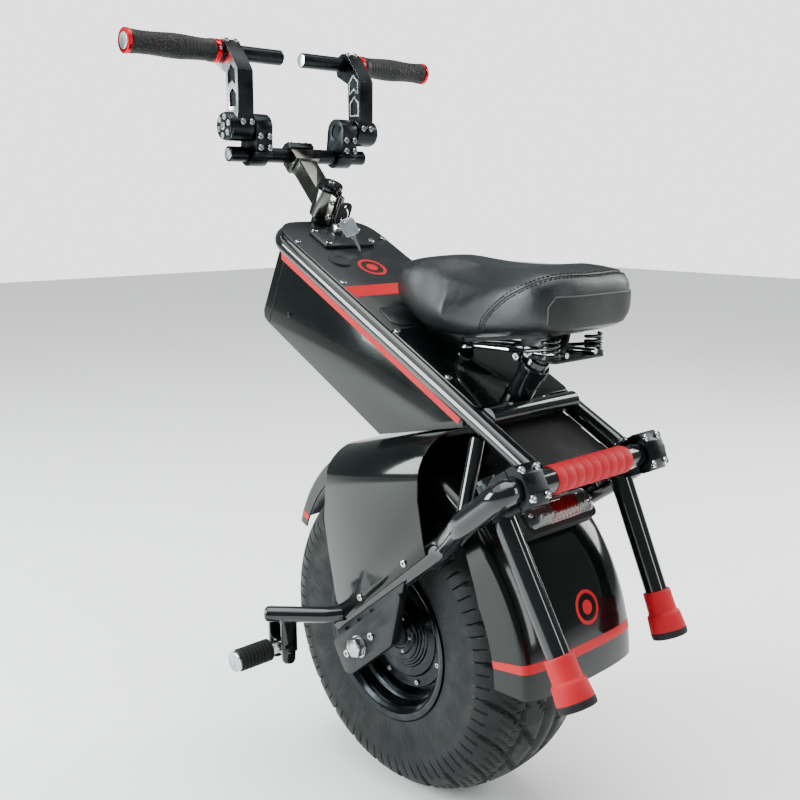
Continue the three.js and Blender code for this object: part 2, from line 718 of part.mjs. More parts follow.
// A key standing along a direction: a flat bow with a hole and a round-sided blade.
function makeKey(matrix, bladeLength) {
  const bow = roundedOutline([[-12.5, 4, 5], [12.5, 4, 5], [12.5, 37, 10], [-12.5, 37, 10]]);
  bow.holes.push(circleHole(0, 31, 3));
  const blade = block([2 * KEY_BLADE * 0.8, bladeLength, 1.6], [0, 5 - bladeLength / 2, 0]);
  return join(plate(bow, -1.6, 1.6, new THREE.Matrix4(), 3), blade).applyMatrix4(matrix);
}

const keyBase = deckPoint(0, SWITCH_ALONG, SWITCH_TOP);
const keyFrame = frameMatrix(V(1, 0, 0), DECK_UP, DECK_ALONG.clone().negate(), keyBase);
add("key_switch", makeKeySwitch(), FINISH.chrome);
add("ignition_key", makeKey(keyFrame, 10), FINISH.rubber);

// ---------------------------------------------------------------- steering post and stem
function makePost() {
  const profile = [[3, 0], [3, 16.5], [14, 14.3], [POST_TOP, 14.3], [POST_TOP, 0]];
  const post = turnedAlong(profile, postPoint(0), DECK_UP);
  return cut(post, upperTube(UPPER_TUBE_RADIUS + GAP));
}

const STEM_LOW = 26;
const STEM_HIGH = 70;
const STEM_MIDDLE = postPoint((STEM_LOW + STEM_HIGH) / 2);
const CROSSBAR_POINT = V(0, ...CROSSBAR);
const STEM_ALONG = CROSSBAR_POINT.clone().sub(STEM_MIDDLE);
const STEM_LENGTH = STEM_ALONG.length();
STEM_ALONG.normalize();
// Drawn along the arm (x) and across it (y), thickness towards the rider's left.
const STEM_SIDE = frameMatrix(STEM_ALONG, V(1, 0, 0).cross(STEM_ALONG), V(1, 0, 0), STEM_MIDDLE);

function makeStem() {
  const end = STEM_LENGTH - 1;
  const arm = outline([[0, -13], [70, -13], [80, -16], [end, -16], [end, 16], [80, 16], [66, 13], [0, 13]]);
  const wide = plate(arm, -15, 15, STEM_SIDE);
  const head = block([20, 32, 44], [STEM_LENGTH - 11, 0, 0], STEM_SIDE);
  const ears = block([17, 15, STEM_HIGH - STEM_LOW], [0, POST_ALONG + 22, (STEM_HIGH + STEM_LOW) / 2], DECK);
  const slot = block([2.4, 30, 60], [0, POST_ALONG + 26, (STEM_HIGH + STEM_LOW) / 2], DECK);
  const whole = join(postRod(STEM_LOW, STEM_HIGH, 20), wide, head, ears);
  const barBore = rodX(-30, 30, CROSSBAR, HANDLEBAR_RADIUS + GAP, 20);
  return cut(whole, postRod(STEM_LOW - 30, STEM_HIGH + 30, 14.6), slot, barBore);
}

function makeStemFaceplate() {
  const shape = roundedOutline([
    [STEM_LENGTH + 1.2, -17], [STEM_LENGTH + 12, -17, 3], [STEM_LENGTH + 17, -8, 6], [STEM_LENGTH + 17, 8, 6],
    [STEM_LENGTH + 12, 17, 3], [STEM_LENGTH + 1.2, 17],
  ]);
  const barBore = rodX(-30, 30, CROSSBAR, HANDLEBAR_RADIUS + GAP, 20);
  return cut(plate(shape, -22, 22, STEM_SIDE), barBore);
}

add("steering_post", makePost(), FINISH.anodised);
add("stem", makeStem(), FINISH.anodised);
add("stem_faceplate", makeStemFaceplate(), FINISH.anodised);
add("crossbar", sleeveX(-125.5, 125.5, CROSSBAR, 8.6, HANDLEBAR_RADIUS, 20), FINISH.anodised);

// ---------------------------------------------------------------- risers, handlebars and grips
const span = (side, low, high) => (side > 0 ? [low, high] : [-high, -low]);

// The convex outline round two circles.
function strapOutline([y0, z0], r0, [y1, z1], r1) {
  const direction = Math.atan2(z1 - z0, y1 - y0);
  const lean = Math.acos((r0 - r1) / Math.hypot(y1 - y0, z1 - z0));
  const points = [];
  for (let i = 0; i <= 9; i += 1) {
    const angle = direction + lean + ((2 * Math.PI - 2 * lean) * i) / 9;
    points.push([y0 + r0 * Math.cos(angle), z0 + r0 * Math.sin(angle)]);
  }
  for (let i = 0; i <= 9; i += 1) {
    const angle = direction - lean + (2 * lean * i) / 9;
    points.push([y1 + r1 * Math.cos(angle), z1 + r1 * Math.sin(angle)]);
  }
  return outline(points);
}

function makeRiserClamp(side) {
  const strap = strapOutline(CROSSBAR, 17, RISER_HUB, 20);
  strap.holes.push(circleHole(...CROSSBAR, HANDLEBAR_RADIUS + GAP), circleHole(...RISER_HUB, 10 + GAP));
  const body = plate(strap, ...span(side, 66, 94), SIDE, 8);
  const ear = block([28, 16, 40], [side * 80, CROSSBAR[0] + 19, 676]);
  const split = block([40, 30, 2], [side * 80, CROSSBAR[0] + 24, CROSSBAR[1] + 4]);
  const bores = [
    rodX(side * 50, side * 110, CROSSBAR, HANDLEBAR_RADIUS + GAP, 20),
    rodX(side * 50, side * 110, RISER_HUB, 10 + GAP, 20),
  ];
  return cut(join(body, ear), split, ...bores);
}

function makeRiserArm(side) {
  const [hubY, hubZ] = RISER_HUB;
  const [barY, barZ] = GRIP_BAR;
  const arm = outline([
    [hubY - 17, hubZ + 8], [hubY + 17, hubZ + 8], [-274, 716],
    [-273, 775], [-284, 790], [barY + 10, barZ + 16],
    [barY, barZ + 17], [barY - 12, barZ + 12], [barY - 16, barZ], [-331, 786], [-304, 772], [-303, 716],
  ]);
  const blade = plate(arm, ...span(side, 99, 125), SIDE);
  const hubProfile = [[98, 0], [98, 20.5], [133, 20.5], [133, 19], [137, 19], [137, 0]];
  const hub = turned(hubProfile.map(([x, r]) => [side * x, r]), RISER_HUB, 24);
  const shaft = rodX(side * 68, side * 100, RISER_HUB, 10, 20);
  const window = outline([[-297, 724], [-279, 724], [-279, 742], [-288, 750], [-297, 742]]);
  const slot = outline([[-299, 754], [-288, 760], [-280, 754], [-280, 774], [-290, 783], [-299, 774]]);
  const pockets = [window, slot].map((shape) => plate(shape, ...span(side, 122, 140), SIDE));
  const bore = rodX(side * 80, side * 150, GRIP_BAR, HANDLEBAR_RADIUS + GAP, 20);
  return cut(join(blade, hub, shaft), bore, ...pockets);
}

const BAR_INNER = 20.3;
const BAR_OUTER = 271;

function makeGrip(side) {
  const bore = HANDLEBAR_RADIUS + GAP;
  const outer = [
    [274.5, 15.5], [268, 16.8], [250, 16.4], [222, 17.4], [196, 17.4], [170, 15.8], [150, 15.4], [144, 17],
    [137, 17],
  ];
  const profile = [[137, bore], [BAR_OUTER + GAP, bore], [BAR_OUTER + GAP, 0], [274.5, 0], ...outer];
  return turned(profile.map(([x, r]) => [side * x, r]), GRIP_BAR, 18);
}

pair("riser_clamp", makeRiserClamp, FINISH.anodised);
pair("riser_arm", makeRiserArm, FINISH.anodised);
function makeHandlebar(side) {
  return rodX(side * BAR_INNER, side * BAR_OUTER, GRIP_BAR, HANDLEBAR_RADIUS, 20);
}

pair("handlebar", makeHandlebar, FINISH.anodised);
pair("grip", makeGrip, FINISH.rubber);

// ---------------------------------------------------------------- rear prop legs
function legFrame(side) {
  const angle = THREE.MathUtils.degToRad(LEG_ANGLE[side]);
  const along = V(0, Math.cos(angle), Math.sin(angle));
  const off = V(0, Math.sin(angle), -Math.cos(angle));
  const origin = V(side * LEG_X, ...CROSS_TUBE).addScaledVector(off, LEG_OFFSET);
  // Drawn from the cross tube towards the leg (x) and down along the leg (y).
  const drawing = frameMatrix(off, along, off.clone().cross(along), V(side * LEG_X, ...CROSS_TUBE));
  return { along, origin, drawing };
}

// A rod on the leg's own line, from one distance along it to another.
function legRod(side, low, high, radius, sides) {
  const { along, origin } = legFrame(side);
  const at = (distance) => origin.clone().addScaledVector(along, distance);
  return rod(at(low), at(high), radius, sides);
}

function makeLegClamp(side) {
  const { drawing } = legFrame(side);
  const barrel = legRod(side, -22, 22, 17, 24);
  const shape = roundedOutline([[1.2, -24], [24, -24, 6], [38, -16], [38, 16], [24, 24, 6], [1.2, 24]]);
  const arm = plate(shape, -16, 16, drawing);
  const legBore = legRod(side, -40, 40, LEG_RADIUS + GAP, 24);
  return cut(join(barrel, arm), legBore, crossTubeCut());
}

function makeLegClampCap(side) {
  const { drawing } = legFrame(side);
  const upper = [[-1.2, 25], [-14, 25, 4], [-21.5, 12, 6]];
  const shape = roundedOutline([...upper, [-21.5, -12, 6], [-14, -25, 4], [-1.2, -25]]);
  return cut(plate(shape, -17, 17, drawing), crossTubeCut());
}

function makeLeg(side) {
  return legRod(side, -28, LEG_CUP[side] + 43, LEG_RADIUS, 20);
}

// A red cup over the leg's end and the black sole it stands on.
function makeFoot(side) {
  const { along, origin } = legFrame(side);
  const top = LEG_CUP[side];
  const bore = LEG_RADIUS + GAP;
  const profile = [[top, bore], [top + 42, bore], [top + 42, 22], [top + 30, 18.5], [top, 17.5]];
  return turnedAlong(profile, origin, along, 20);
}

function makeSole(side) {
  const { along, origin } = legFrame(side);
  const top = LEG_CUP[side] + 42 + GAP;
  const bore = LEG_RADIUS + GAP;
  const recess = [[top, bore], [top + 2, bore], [top + 2, 0]];
  const profile = [...recess, [top + 18, 0], [top + 18, 22.5], [top, 24]];
  return turnedAlong(profile, origin, along, 20);
}

pair("leg_clamp", makeLegClamp, FINISH.anodised);
pair("leg_clamp_cap", makeLegClampCap, FINISH.anodised);
pair("leg", makeLeg, FINISH.anodised);
pair("foot_cup", makeFoot, FINISH.redRubber);
pair("foot_sole", makeSole, FINISH.rubber);

// ---------------------------------------------------------------- saddle
// Sections from the nose to the rear: [Y, half width, top Z, bottom Z].
const SADDLE_SECTIONS = [
  [-50, 12, 486, 468],
  [-44, 30, 503, 464],
  [-28, 44, 515, 456],
  [0, 52, 520, 441.5],
  [26, 56, 521, 429],
  [50, 60, 520.5, 426],
  [85, 66, 517, 426],
  [125, 77, 513.5, 428],
  [165, 89, 512.5, 434],
  [205, 95, 515, 440],
  [240, 93, 518, 444],
  [262, 81, 516, 447],
  [275, 58, 508, 453],
  [279, 36, 498, 462],
];

function makeSaddle() {
  const rings = SADDLE_SECTIONS.map(([y, half, top, bottom]) => {
    const middle = (top + bottom) / 2;
    const ring = [];
    for (let i = 0; i < 20; i += 1) {
      const angle = (2 * Math.PI * i) / 20;
      const across = Math.sign(Math.cos(angle)) * Math.abs(Math.cos(angle)) ** 0.6;
      const up = Math.sign(Math.sin(angle)) * Math.abs(Math.sin(angle)) ** 0.6;
      ring.push(V(half * across, y, middle + ((top - bottom) / 2) * up));
    }
    return ring;
  });
  return loft(rings);
}

const SADDLE_PIVOT = seatPoint(84);
const SADDLE_PIN = 4;

function makeSeatPost() {
  const post = rod(seatPoint(0), seatPoint(68), 14.3, 20);
  const neck = rod(seatPoint(60), seatPoint(80), 9, 16);
  const eye = rodX(-16, 16, [SADDLE_PIVOT.y, SADDLE_PIVOT.z], 11, 20);
  return cut(join(post, neck, eye), rodX(-20, 20, [SADDLE_PIVOT.y, SADDLE_PIVOT.z], SADDLE_PIN + GAP, 12));
}

// The pan under the padding, with two lugs and the pin that clamps them to the post's eye.
function makeSaddleFrame() {
  const shape = roundedOutline([[-50, 60, 14], [-62, 248, 30], [62, 248, 30], [50, 60, 14]]);
  const pan = plate(shape, 418.6, 423.6, new THREE.Matrix4(), 4);
  const slope = new THREE.Matrix4().set(1, 0, 0, 0, 0, 1, 0, 0, 0, 0.125, 1, -0.125 * 95, 0, 0, 0, 1);
  pan.applyMatrix4(slope);
  const { y, z } = SADDLE_PIVOT;
  const foot = [[y - 14, z - 10, 8], [y + 14, z - 10, 8]];
  const lugShape = roundedOutline([...foot, [y + 22, z + 19, 1], [y - 22, z + 19, 1]]);
  const lugs = [-1, 1].map((side) => plate(lugShape, ...span(side, 16.4, 22), SIDE));
  const pin = rodX(-27, 27, [y, z], SADDLE_PIN, 12);
  return join(pan, pin, ...lugs);
}

add("seat_post", makeSeatPost(), FINISH.steel);
add("saddle_frame", makeSaddleFrame(), FINISH.cast);
add("saddle", makeSaddle(), FINISH.leather);

const unicycle = new THREE.Group();
unicycle.name = "unicycle";
vehicle.position.set(0, ORIGIN_FORWARD, TYRE_RADIUS);
unicycle.add(vehicle);
export default unicycle;
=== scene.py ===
import bpy
import bmesh
import json
import math
import numpy as np
from mathutils import Matrix, Quaternion, Vector
from mathutils.bvhtree import BVHTree
from mathutils.kdtree import KDTree


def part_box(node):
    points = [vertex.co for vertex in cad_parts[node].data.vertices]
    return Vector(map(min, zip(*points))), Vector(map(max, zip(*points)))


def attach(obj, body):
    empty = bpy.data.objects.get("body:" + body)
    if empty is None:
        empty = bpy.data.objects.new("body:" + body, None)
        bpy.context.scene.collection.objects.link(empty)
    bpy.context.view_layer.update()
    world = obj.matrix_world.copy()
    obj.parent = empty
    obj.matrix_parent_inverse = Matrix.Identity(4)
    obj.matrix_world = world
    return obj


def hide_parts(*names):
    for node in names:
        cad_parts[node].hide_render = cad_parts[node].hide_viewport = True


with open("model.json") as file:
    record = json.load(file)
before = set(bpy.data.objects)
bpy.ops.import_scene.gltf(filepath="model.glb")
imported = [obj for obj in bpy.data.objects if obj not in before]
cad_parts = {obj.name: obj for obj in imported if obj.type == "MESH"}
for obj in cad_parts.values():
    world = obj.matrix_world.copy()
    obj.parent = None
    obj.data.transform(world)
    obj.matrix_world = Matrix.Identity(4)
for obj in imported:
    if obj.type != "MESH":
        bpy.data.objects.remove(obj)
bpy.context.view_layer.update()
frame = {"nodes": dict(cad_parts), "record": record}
NODES = frame["nodes"]
BODY_OF = {node: body for body, nodes in frame["record"]["behaviour"]["bodies"].items() for node in nodes}

# Everything is placed in millimetres from the axle's centre, as the CAD is.
MM = 0.001
TURN = 2 * math.pi
SIDES = ((1, "left"), (-1, "right"))
axle_low, axle_high = (Vector(corner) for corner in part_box("axle"))
AXLE = (axle_low + axle_high) / 2
SLOPE = math.radians(26.7)
DECK_ALONG = Vector((0, math.cos(SLOPE), -math.sin(SLOPE)))
DECK_UP = Vector((0, math.sin(SLOPE), math.cos(SLOPE)))
DECK_ORIGIN = Vector((0, 0, 416.3))
X = Vector((1, 0, 0))
Y = Vector((0, 1, 0))
Z = Vector((0, 0, 1))
CROSS_TUBE = Vector((0, 266, 278))


def deck(x, along, up):
    """A point on the sloping deck between the upper tubes."""
    return DECK_ORIGIN + X * x + DECK_ALONG * along + DECK_UP * up


def metres(point):
    return Vector(point) * MM + AXLE


def basis(x, y, z, origin=(0, 0, 0)):
    m = Matrix((x, y, z)).transposed().to_4x4()
    m.translation = Vector(origin)
    return m


def outward(side):
    """A drawing plane on the left or right side: across is along Y, up is Z, and depth is outward."""
    return basis(Y * side, Z, X * side)


DECK = basis(X, DECK_ALONG, DECK_UP, DECK_ORIGIN)


# ---------------------------------------------------------------- materials
LOOKS = {}


class Look:
    """A node material built from object coordinates in metres."""

    def __init__(self, name, color, rough, metal=0.0, **sockets):
        self.material = bpy.data.materials.new(name)
        self.material.use_nodes = True
        self.shader = self.material.node_tree.nodes["Principled BSDF"]
        self.color = (*color, 1)
        self.normal = None
        values = {"Base Color": self.color, "Roughness": rough, "Metallic": metal}
        values.update((key.replace("_", " "), value) for key, value in sockets.items())
        for key, value in values.items():
            self.shader.inputs[key].default_value = value
        self.coords = self.node("TexCoord", {}, "Object")
        LOOKS[name] = self.material

    def link(self, a, b):
        self.material.node_tree.links.new(a, b)

    def node(self, kind, inputs, output, **settings):
        """Adds a node, whose inputs are numbers, colours or the outputs of other nodes."""
        node = self.material.node_tree.nodes.new("ShaderNode" + kind)
        for key, value in settings.items():
            setattr(node, key, value)
        for key, value in inputs.items():
            if isinstance(value, bpy.types.NodeSocket):
                self.link(value, node.inputs[key])
            else:
                node.inputs[key].default_value = value
        return node.outputs[output]

    def noise(self, scale, detail=4.0, distortion=0.0):
        inputs = {"Vector": self.coords, "Scale": scale, "Detail": detail, "Distortion": distortion}
        return self.node("TexNoise", inputs, "Fac")

    def cells(self, scale):
        """Distance to the edges of irregular cells."""
        inputs = {"Vector": self.coords, "Scale": scale}
        return self.node("TexVoronoi", inputs, "Distance", feature="DISTANCE_TO_EDGE")

    def across(self):
        """Distance to the left of the middle."""
        return self.node("SeparateXYZ", {"Vector": self.coords}, "X")

    def ramp(self, value, low, high, start=0.0, end=1.0):
        inputs = {"Value": value, "From Min": low, "From Max": high, "To Min": start, "To Max": end}
        return self.node("MapRange", inputs, "Result")

    def math(self, operation, a, b=0.0):
        return self.node("Math", {0: a, 1: b}, 0, operation=operation)

    def tint(self, amount, other):
        """Mixes the colour towards another by an amount."""
        base = self.shader.inputs["Base Color"]
        before = base.links[0].from_socket if base.is_linked else self.color
        inputs = {"A": before, "B": (*other, 1), "Factor": amount}
        self.link(self.node("Mix", inputs, "Result", data_type="RGBA"), base)

    def vary_rough(self, value, low, high):
        self.link(self.ramp(value, 0.3, 0.7, low, high), self.shader.inputs["Roughness"])

    def bump(self, value, height):
        """Raises the surface by value, in millimetres."""
        inputs = {"Height": value, "Distance": height * MM, "Strength": 1.0}
        if self.normal is not None:
            inputs["Normal"] = self.normal
        self.normal = self.node("Bump", inputs, "Normal")
        self.link(self.normal, self.shader.inputs["Normal"])


def paint(name, color, rough, coat):
    """Sprayed paint: orange peel, soft smudges and a little dust."""
    look = Look(name, color, rough, Coat_Weight=coat, Coat_Roughness=0.03, Specular_IOR_Level=0.22)
    look.bump(look.noise(420, 2), 0.035)
    look.vary_rough(look.noise(9, 5, 0.6), rough * 0.8, rough * 1.5)
    dust = look.ramp(look.noise(1400, 1), 0.72, 0.8)
    look.tint(look.math("MULTIPLY", dust, 0.25), (0.12, 0.12, 0.12))


def metal(name, color, rough, wear=None):
    """Turned, brushed or plated metal with fine grain and smears."""
    look = Look(name, color, rough, 1.0)
    look.bump(look.noise(900, 3), 0.02)
    look.vary_rough(look.noise(30, 5), rough * 0.7, rough * 1.5)
    patch = look.ramp(look.noise(70, 5), 0.5, 0.75, 0, 0.5)
    look.tint(patch, wear or tuple(c * 0.6 for c in color))


def rubber(name, color, rough, grain=1600, depth=0.05, pale=0.35):
    """Rubber or thread with a fine grain, paler where dust has settled."""
    look = Look(name, color, rough, Specular_IOR_Level=0.24)
    look.bump(look.noise(grain, 2), depth)
    look.vary_rough(look.noise(24, 4), rough * 0.85, min(1, rough * 1.15))
    dusty = look.ramp(look.noise(14, 6, 0.4), 0.45, 0.8, 0, pale)
    look.tint(dusty, tuple(min(1, c * 2.2 + 0.02) for c in color))


def leather(name, color, rough, scale):
    """Grained leather with soft creases of light and dark."""
    look = Look(name, color, rough, Specular_IOR_Level=0.42)
    look.bump(look.ramp(look.cells(scale), 0.0, 0.22), 0.10)
    look.bump(look.noise(2400, 2), 0.03)
    look.vary_rough(look.noise(18, 5), rough * 0.85, rough * 1.2)
    look.tint(look.ramp(look.noise(7, 5, 0.5), 0.45, 0.8, 0, 0.6), tuple(c * 1.9 for c in color))


def lens(name, color, rough):
    """Clear plastic with fine upright prisms."""
    look = Look(name, color, rough, Transmission_Weight=0.55, IOR=1.49, Coat_Weight=0.8)
    look.bump(look.math("SINE", look.math("MULTIPLY", look.across(), 900.0)), 0.25)


def tyre_rubber():
    look = Look("tyre_rubber", (0.0038, 0.0048, 0.0052), 0.6, Specular_IOR_Level=0.2)
    look.bump(look.noise(900, 3), 0.10)
    look.vary_rough(look.noise(40, 5), 0.42, 0.7)
    look.tint(look.ramp(look.noise(9, 6, 0.8), 0.46, 0.75, 0, 0.5), (0.013, 0.014, 0.014))
    look.tint(look.ramp(look.noise(260, 3), 0.62, 0.72, 0, 0.25), (0.04, 0.039, 0.036))


def grip_rubber():
    """Grip rubber: a fine skin, with sunk cells over the palm rest at the outer end."""
    look = Look("grip_rubber", (0.003, 0.003, 0.0035), 0.5, Specular_IOR_Level=0.26)
    look.bump(look.noise(1100, 2), 0.06)
    away = look.math("ABSOLUTE", look.across())
    palm = look.math("MULTIPLY", look.ramp(away, 0.186, 0.190), look.ramp(away, 0.264, 0.260))
    pits = look.ramp(look.cells(230), 0.05, 0.3)
    look.bump(look.math("MULTIPLY", pits, palm), -0.9)
    look.vary_rough(look.noise(24, 4), 0.42, 0.62)
    look.tint(look.ramp(look.noise(14, 6, 0.4), 0.45, 0.8, 0, 0.3), (0.008, 0.008, 0.009))


paint("gloss_black", (0.002, 0.003, 0.003), 0.12, 0.22)
paint("tube_black", (0.004, 0.005, 0.006), 0.12, 0.7)
paint("satin_black", (0.006, 0.0075, 0.008), 0.36, 0.06)
paint("red_stripe", (0.40, 0.001, 0.006), 0.4, 0.06)
metal("anodised", (0.016, 0.018, 0.020), 0.28, wear=(0.035, 0.037, 0.040))
metal("polished_dark", (0.10, 0.10, 0.092), 0.15, wear=(0.16, 0.155, 0.145))
metal("motor_black", (0.020, 0.023, 0.026), 0.2, wear=(0.05, 0.054, 0.058))
metal("machined_edge", (0.62, 0.63, 0.64), 0.22)
metal("chrome", (0.78, 0.79, 0.80), 0.07)
metal("steel", (0.45, 0.46, 0.47), 0.24)
metal("cap_silver", (0.60, 0.66, 0.72), 0.25)
metal("red_anodised", (0.52, 0.006, 0.016), 0.25, wear=(0.35, 0.004, 0.01))
metal("copper", (0.50, 0.22, 0.09), 0.35)
rubber("black_rubber", (0.006, 0.006, 0.007), 0.7, pale=0.2)
rubber("red_rubber", (0.36, 0.002, 0.009), 0.6, grain=700, depth=0.18, pale=0.0)
rubber("battery_wrap", (0.01, 0.06, 0.25), 0.4)
rubber("piping", (0.055, 0.06, 0.065), 0.45, pale=0.1)
rubber("thread", (0.0012, 0.0014, 0.0016), 0.7, grain=3000, pale=0.02)
leather("leather", (0.0042, 0.0054, 0.0064), 0.32, 620)
leather("leather_panel", (0.0025, 0.003, 0.0032), 0.62, 900)
lens("red_lens", (0.16, 0.004, 0.006), 0.1)
lens("smoke_lens", (0.05, 0.055, 0.055), 0.08)
grip_rubber()
tyre_rubber()


# ---------------------------------------------------------------- making pieces
SAME_POINT = 2e-6
FLAT_ANGLE = math.radians(1.5)


def add(name, data):
    """A new object in the scene."""
    obj = bpy.data.objects.new(name, data)
    bpy.context.scene.collection.objects.link(obj)
    return obj


def register(obj, look, body, node=None):
    """Gives a piece its look and the body it rides on, and hides the CAD node it stands for."""
    obj.data.materials.clear()
    obj.data.materials.append(LOOKS[look])
    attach(obj, body)
    if node:
        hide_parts(node)
    return obj


def settle(mesh, angle):
    """Smooth faces with sharp edges where the surface turns by more than the angle."""
    mesh.polygons.foreach_set("use_smooth", [True] * len(mesh.polygons))
    mesh.set_sharp_from_angle(angle=math.radians(angle))
    mesh.update()


def bake(obj):
    """Applies an object's modifiers."""
    graph = bpy.context.evaluated_depsgraph_get()
    made = bpy.data.meshes.new_from_object(obj.evaluated_get(graph))
    obj.modifiers.clear()
    obj.data = made
    return obj


def bevel(obj, width, segments, slot=-1):
    """Rounds the sharp edges, or cuts chamfers that take the material of a slot."""
    mod = obj.modifiers.new("bevel", "BEVEL")
    mod.width = width * MM
    mod.segments = segments
    mod.limit_method = "ANGLE"
    mod.angle_limit = math.radians(35)
    mod.material = slot
    return bake(obj)


def face_out(mesh):
    """Turns every face to point out of its body."""
    bm = bmesh.new()
    bm.from_mesh(mesh)
    bmesh.ops.recalc_face_normals(bm, faces=bm.faces)
    bm.to_mesh(mesh)
    bm.free()


def piece(name, verts, faces, look, body, matrix=None, smooth=32, width=0, segments=2, node=None):
    """A mesh from points in millimetres about the axle's centre."""
    mesh = bpy.data.meshes.new(name)
    mesh.from_pydata([metres(matrix @ Vector(v) if matrix else v) for v in verts], [], faces)
    mesh.validate()
    obj = add(name, mesh)
    face_out(mesh)
    if width:
        bevel(obj, width, segments)
    settle(obj.data, smooth)
    return register(obj, look, body, node)


def copied(node):
    """A copy of the CAD node's shape, with each flat face whole again."""
    source = NODES[node]
    obj = add(node + "_fine", source.data.copy())
    obj.matrix_world = source.matrix_world
    bm = bmesh.new()
    bm.from_mesh(obj.data)
    bmesh.ops.remove_doubles(bm, verts=bm.verts, dist=SAME_POINT)
    bmesh.ops.dissolve_limit(bm, angle_limit=FLAT_ANGLE, verts=bm.verts, edges=bm.edges)
    bm.to_mesh(obj.data)
    bm.free()
    return obj


def refine(node, look, width, segments=2):
    """The CAD node's own shape with rounded edges, in place of the node."""
    obj = copied(node)
    bevel(obj, width, segments)
    settle(obj.data, 32)
    return register(obj, look, BODY_OF[node], node)


def ring_angles(count, start=0.0):
    """Equal steps round a full turn."""
    return [TURN * i / count + start for i in range(count)]


def grid_faces(rows, columns, wrap_rows=False, wrap_columns=True):
    faces = []
    for i in range(rows if wrap_rows else rows - 1):
        j = (i + 1) % rows
        for k in range(columns if wrap_columns else columns - 1):
            n = (k + 1) % columns
            faces.append((i * columns + k, i * columns + n, j * columns + n, j * columns + k))
    return faces


def capped_faces(rows, columns):
    """The faces of a tube of rows, with a flat face over each end."""
    count = rows * columns
    return grid_faces(rows, columns) + [tuple(range(columns)), tuple(range(count - columns, count))]


def hoop(point, out, other, radius, sides):
    """Points on a circle about a point."""
    return [point + (out * math.cos(a) + other * math.sin(a)) * radius for a in ring_angles(sides)]


def direction_at(points, i):
    """The direction of a line of points at one of them."""
    return (points[min(i + 1, len(points) - 1)] - points[max(i - 1, 0)]).normalized()


def turned(name, profile, look, body, origin=(0, 0, 0), axis=X, sides=48, smooth=30, closed=True, side=1,
           node=None):
    """A body of revolution: profile points are (distance along the axis, radius); side -1 mirrors it."""
    axis = Vector(axis).normalized()
    first = axis.orthogonal().normalized()
    other = axis.cross(first)
    verts = []
    for a in ring_angles(sides):
        out = first * math.cos(a) + other * math.sin(a)
        verts += [Vector(origin) + axis * (side * t) + out * max(r, 0.001) for t, r in profile]
    faces = grid_faces(sides, len(profile), True, closed)
    return piece(name, verts, faces, look, body, smooth=smooth, node=node)


def bent_path(corners, bends, steps):
    """Points along straight runs joined by round bends, with their directions."""
    corners = [Vector(c) for c in corners]
    points = [(corners[0], (corners[1] - corners[0]).normalized())]
    for before, corner, after, bend in zip(corners, corners[1:], corners[2:], bends):
        back = (before - corner).normalized()
        ahead = (after - corner).normalized()
        half = back.angle(ahead) / 2
        centre = corner + (back + ahead).normalized() * bend / math.sin(half)
        start = corner + back * bend / math.tan(half) - centre
        turn_axis = (-back).cross(ahead).normalized()
        for k in range(steps + 1):
            q = Quaternion(turn_axis, (math.pi - 2 * half) * k / steps)
            points.append((q @ start + centre, q @ -back))
    return points + [(corners[-1], (corners[-1] - corners[-2]).normalized())]


def tube(name, corners, radius, look, body, bend=20, steps=10, sides=28, node=None):
    """A round bar through corners; bend is one radius for all the bends or a list of them."""
    bends = bend if isinstance(bend, list) else [bend] * (len(corners) - 2)
    path = bent_path(corners, bends, steps)
    normal = path[0][1].orthogonal().normalized()
    verts = []
    for point, along in path:
        normal = (normal - along * normal.dot(along)).normalized()
        verts += hoop(point, normal, along.cross(normal), radius, sides)
    return piece(name, verts, capped_faces(len(path), sides), look, body, smooth=50, node=node)


def plate(name, outline, low, high, matrix, look, body, width=0.6, segments=2, node=None):
    """A flat outline, thickened along the matrix's third direction."""
    verts = [(x, y, level) for level in (low, high) for x, y in outline]
    return piece(name, verts, capped_faces(2, len(outline)), look, body, matrix, width=width,
                 segments=segments, node=node)


def rounded(points, steps=6):
    """An outline with corners rounded: points are (x, y, radius)."""
    result = []
    n = len(points)
    for i, (x, y, radius) in enumerate(points):
        corner = Vector((x, y))
        before = (Vector(points[i - 1][:2]) - corner).normalized()
        after = (Vector(points[(i + 1) % n][:2]) - corner).normalized()
        half = before.angle(after) / 2
        centre = corner + (before + after).normalized() * radius / math.sin(half)
        a = corner + before * radius / math.tan(half) - centre
        b = corner + after * radius / math.tan(half) - centre
        start = math.atan2(a.y, a.x)
        sweep = (math.atan2(b.y, b.x) - start + math.pi) % TURN - math.pi
        for k in range(steps + 1):
            t = start + sweep * k / steps
            result.append((centre.x + radius * math.cos(t), centre.y + radius * math.sin(t)))
    return result


def rounded_box(half, high, corner):
    return rounded([(-half, -high, corner), (half, -high, corner), (half, high, corner), (-half, high, corner)])


def four(x, y):
    """The four corners of a bolt pattern."""
    return enumerate(((-x, -y), (x, -y), (-x, y), (x, y)))


BOLT_SIDES = 24
BOLTS = {}


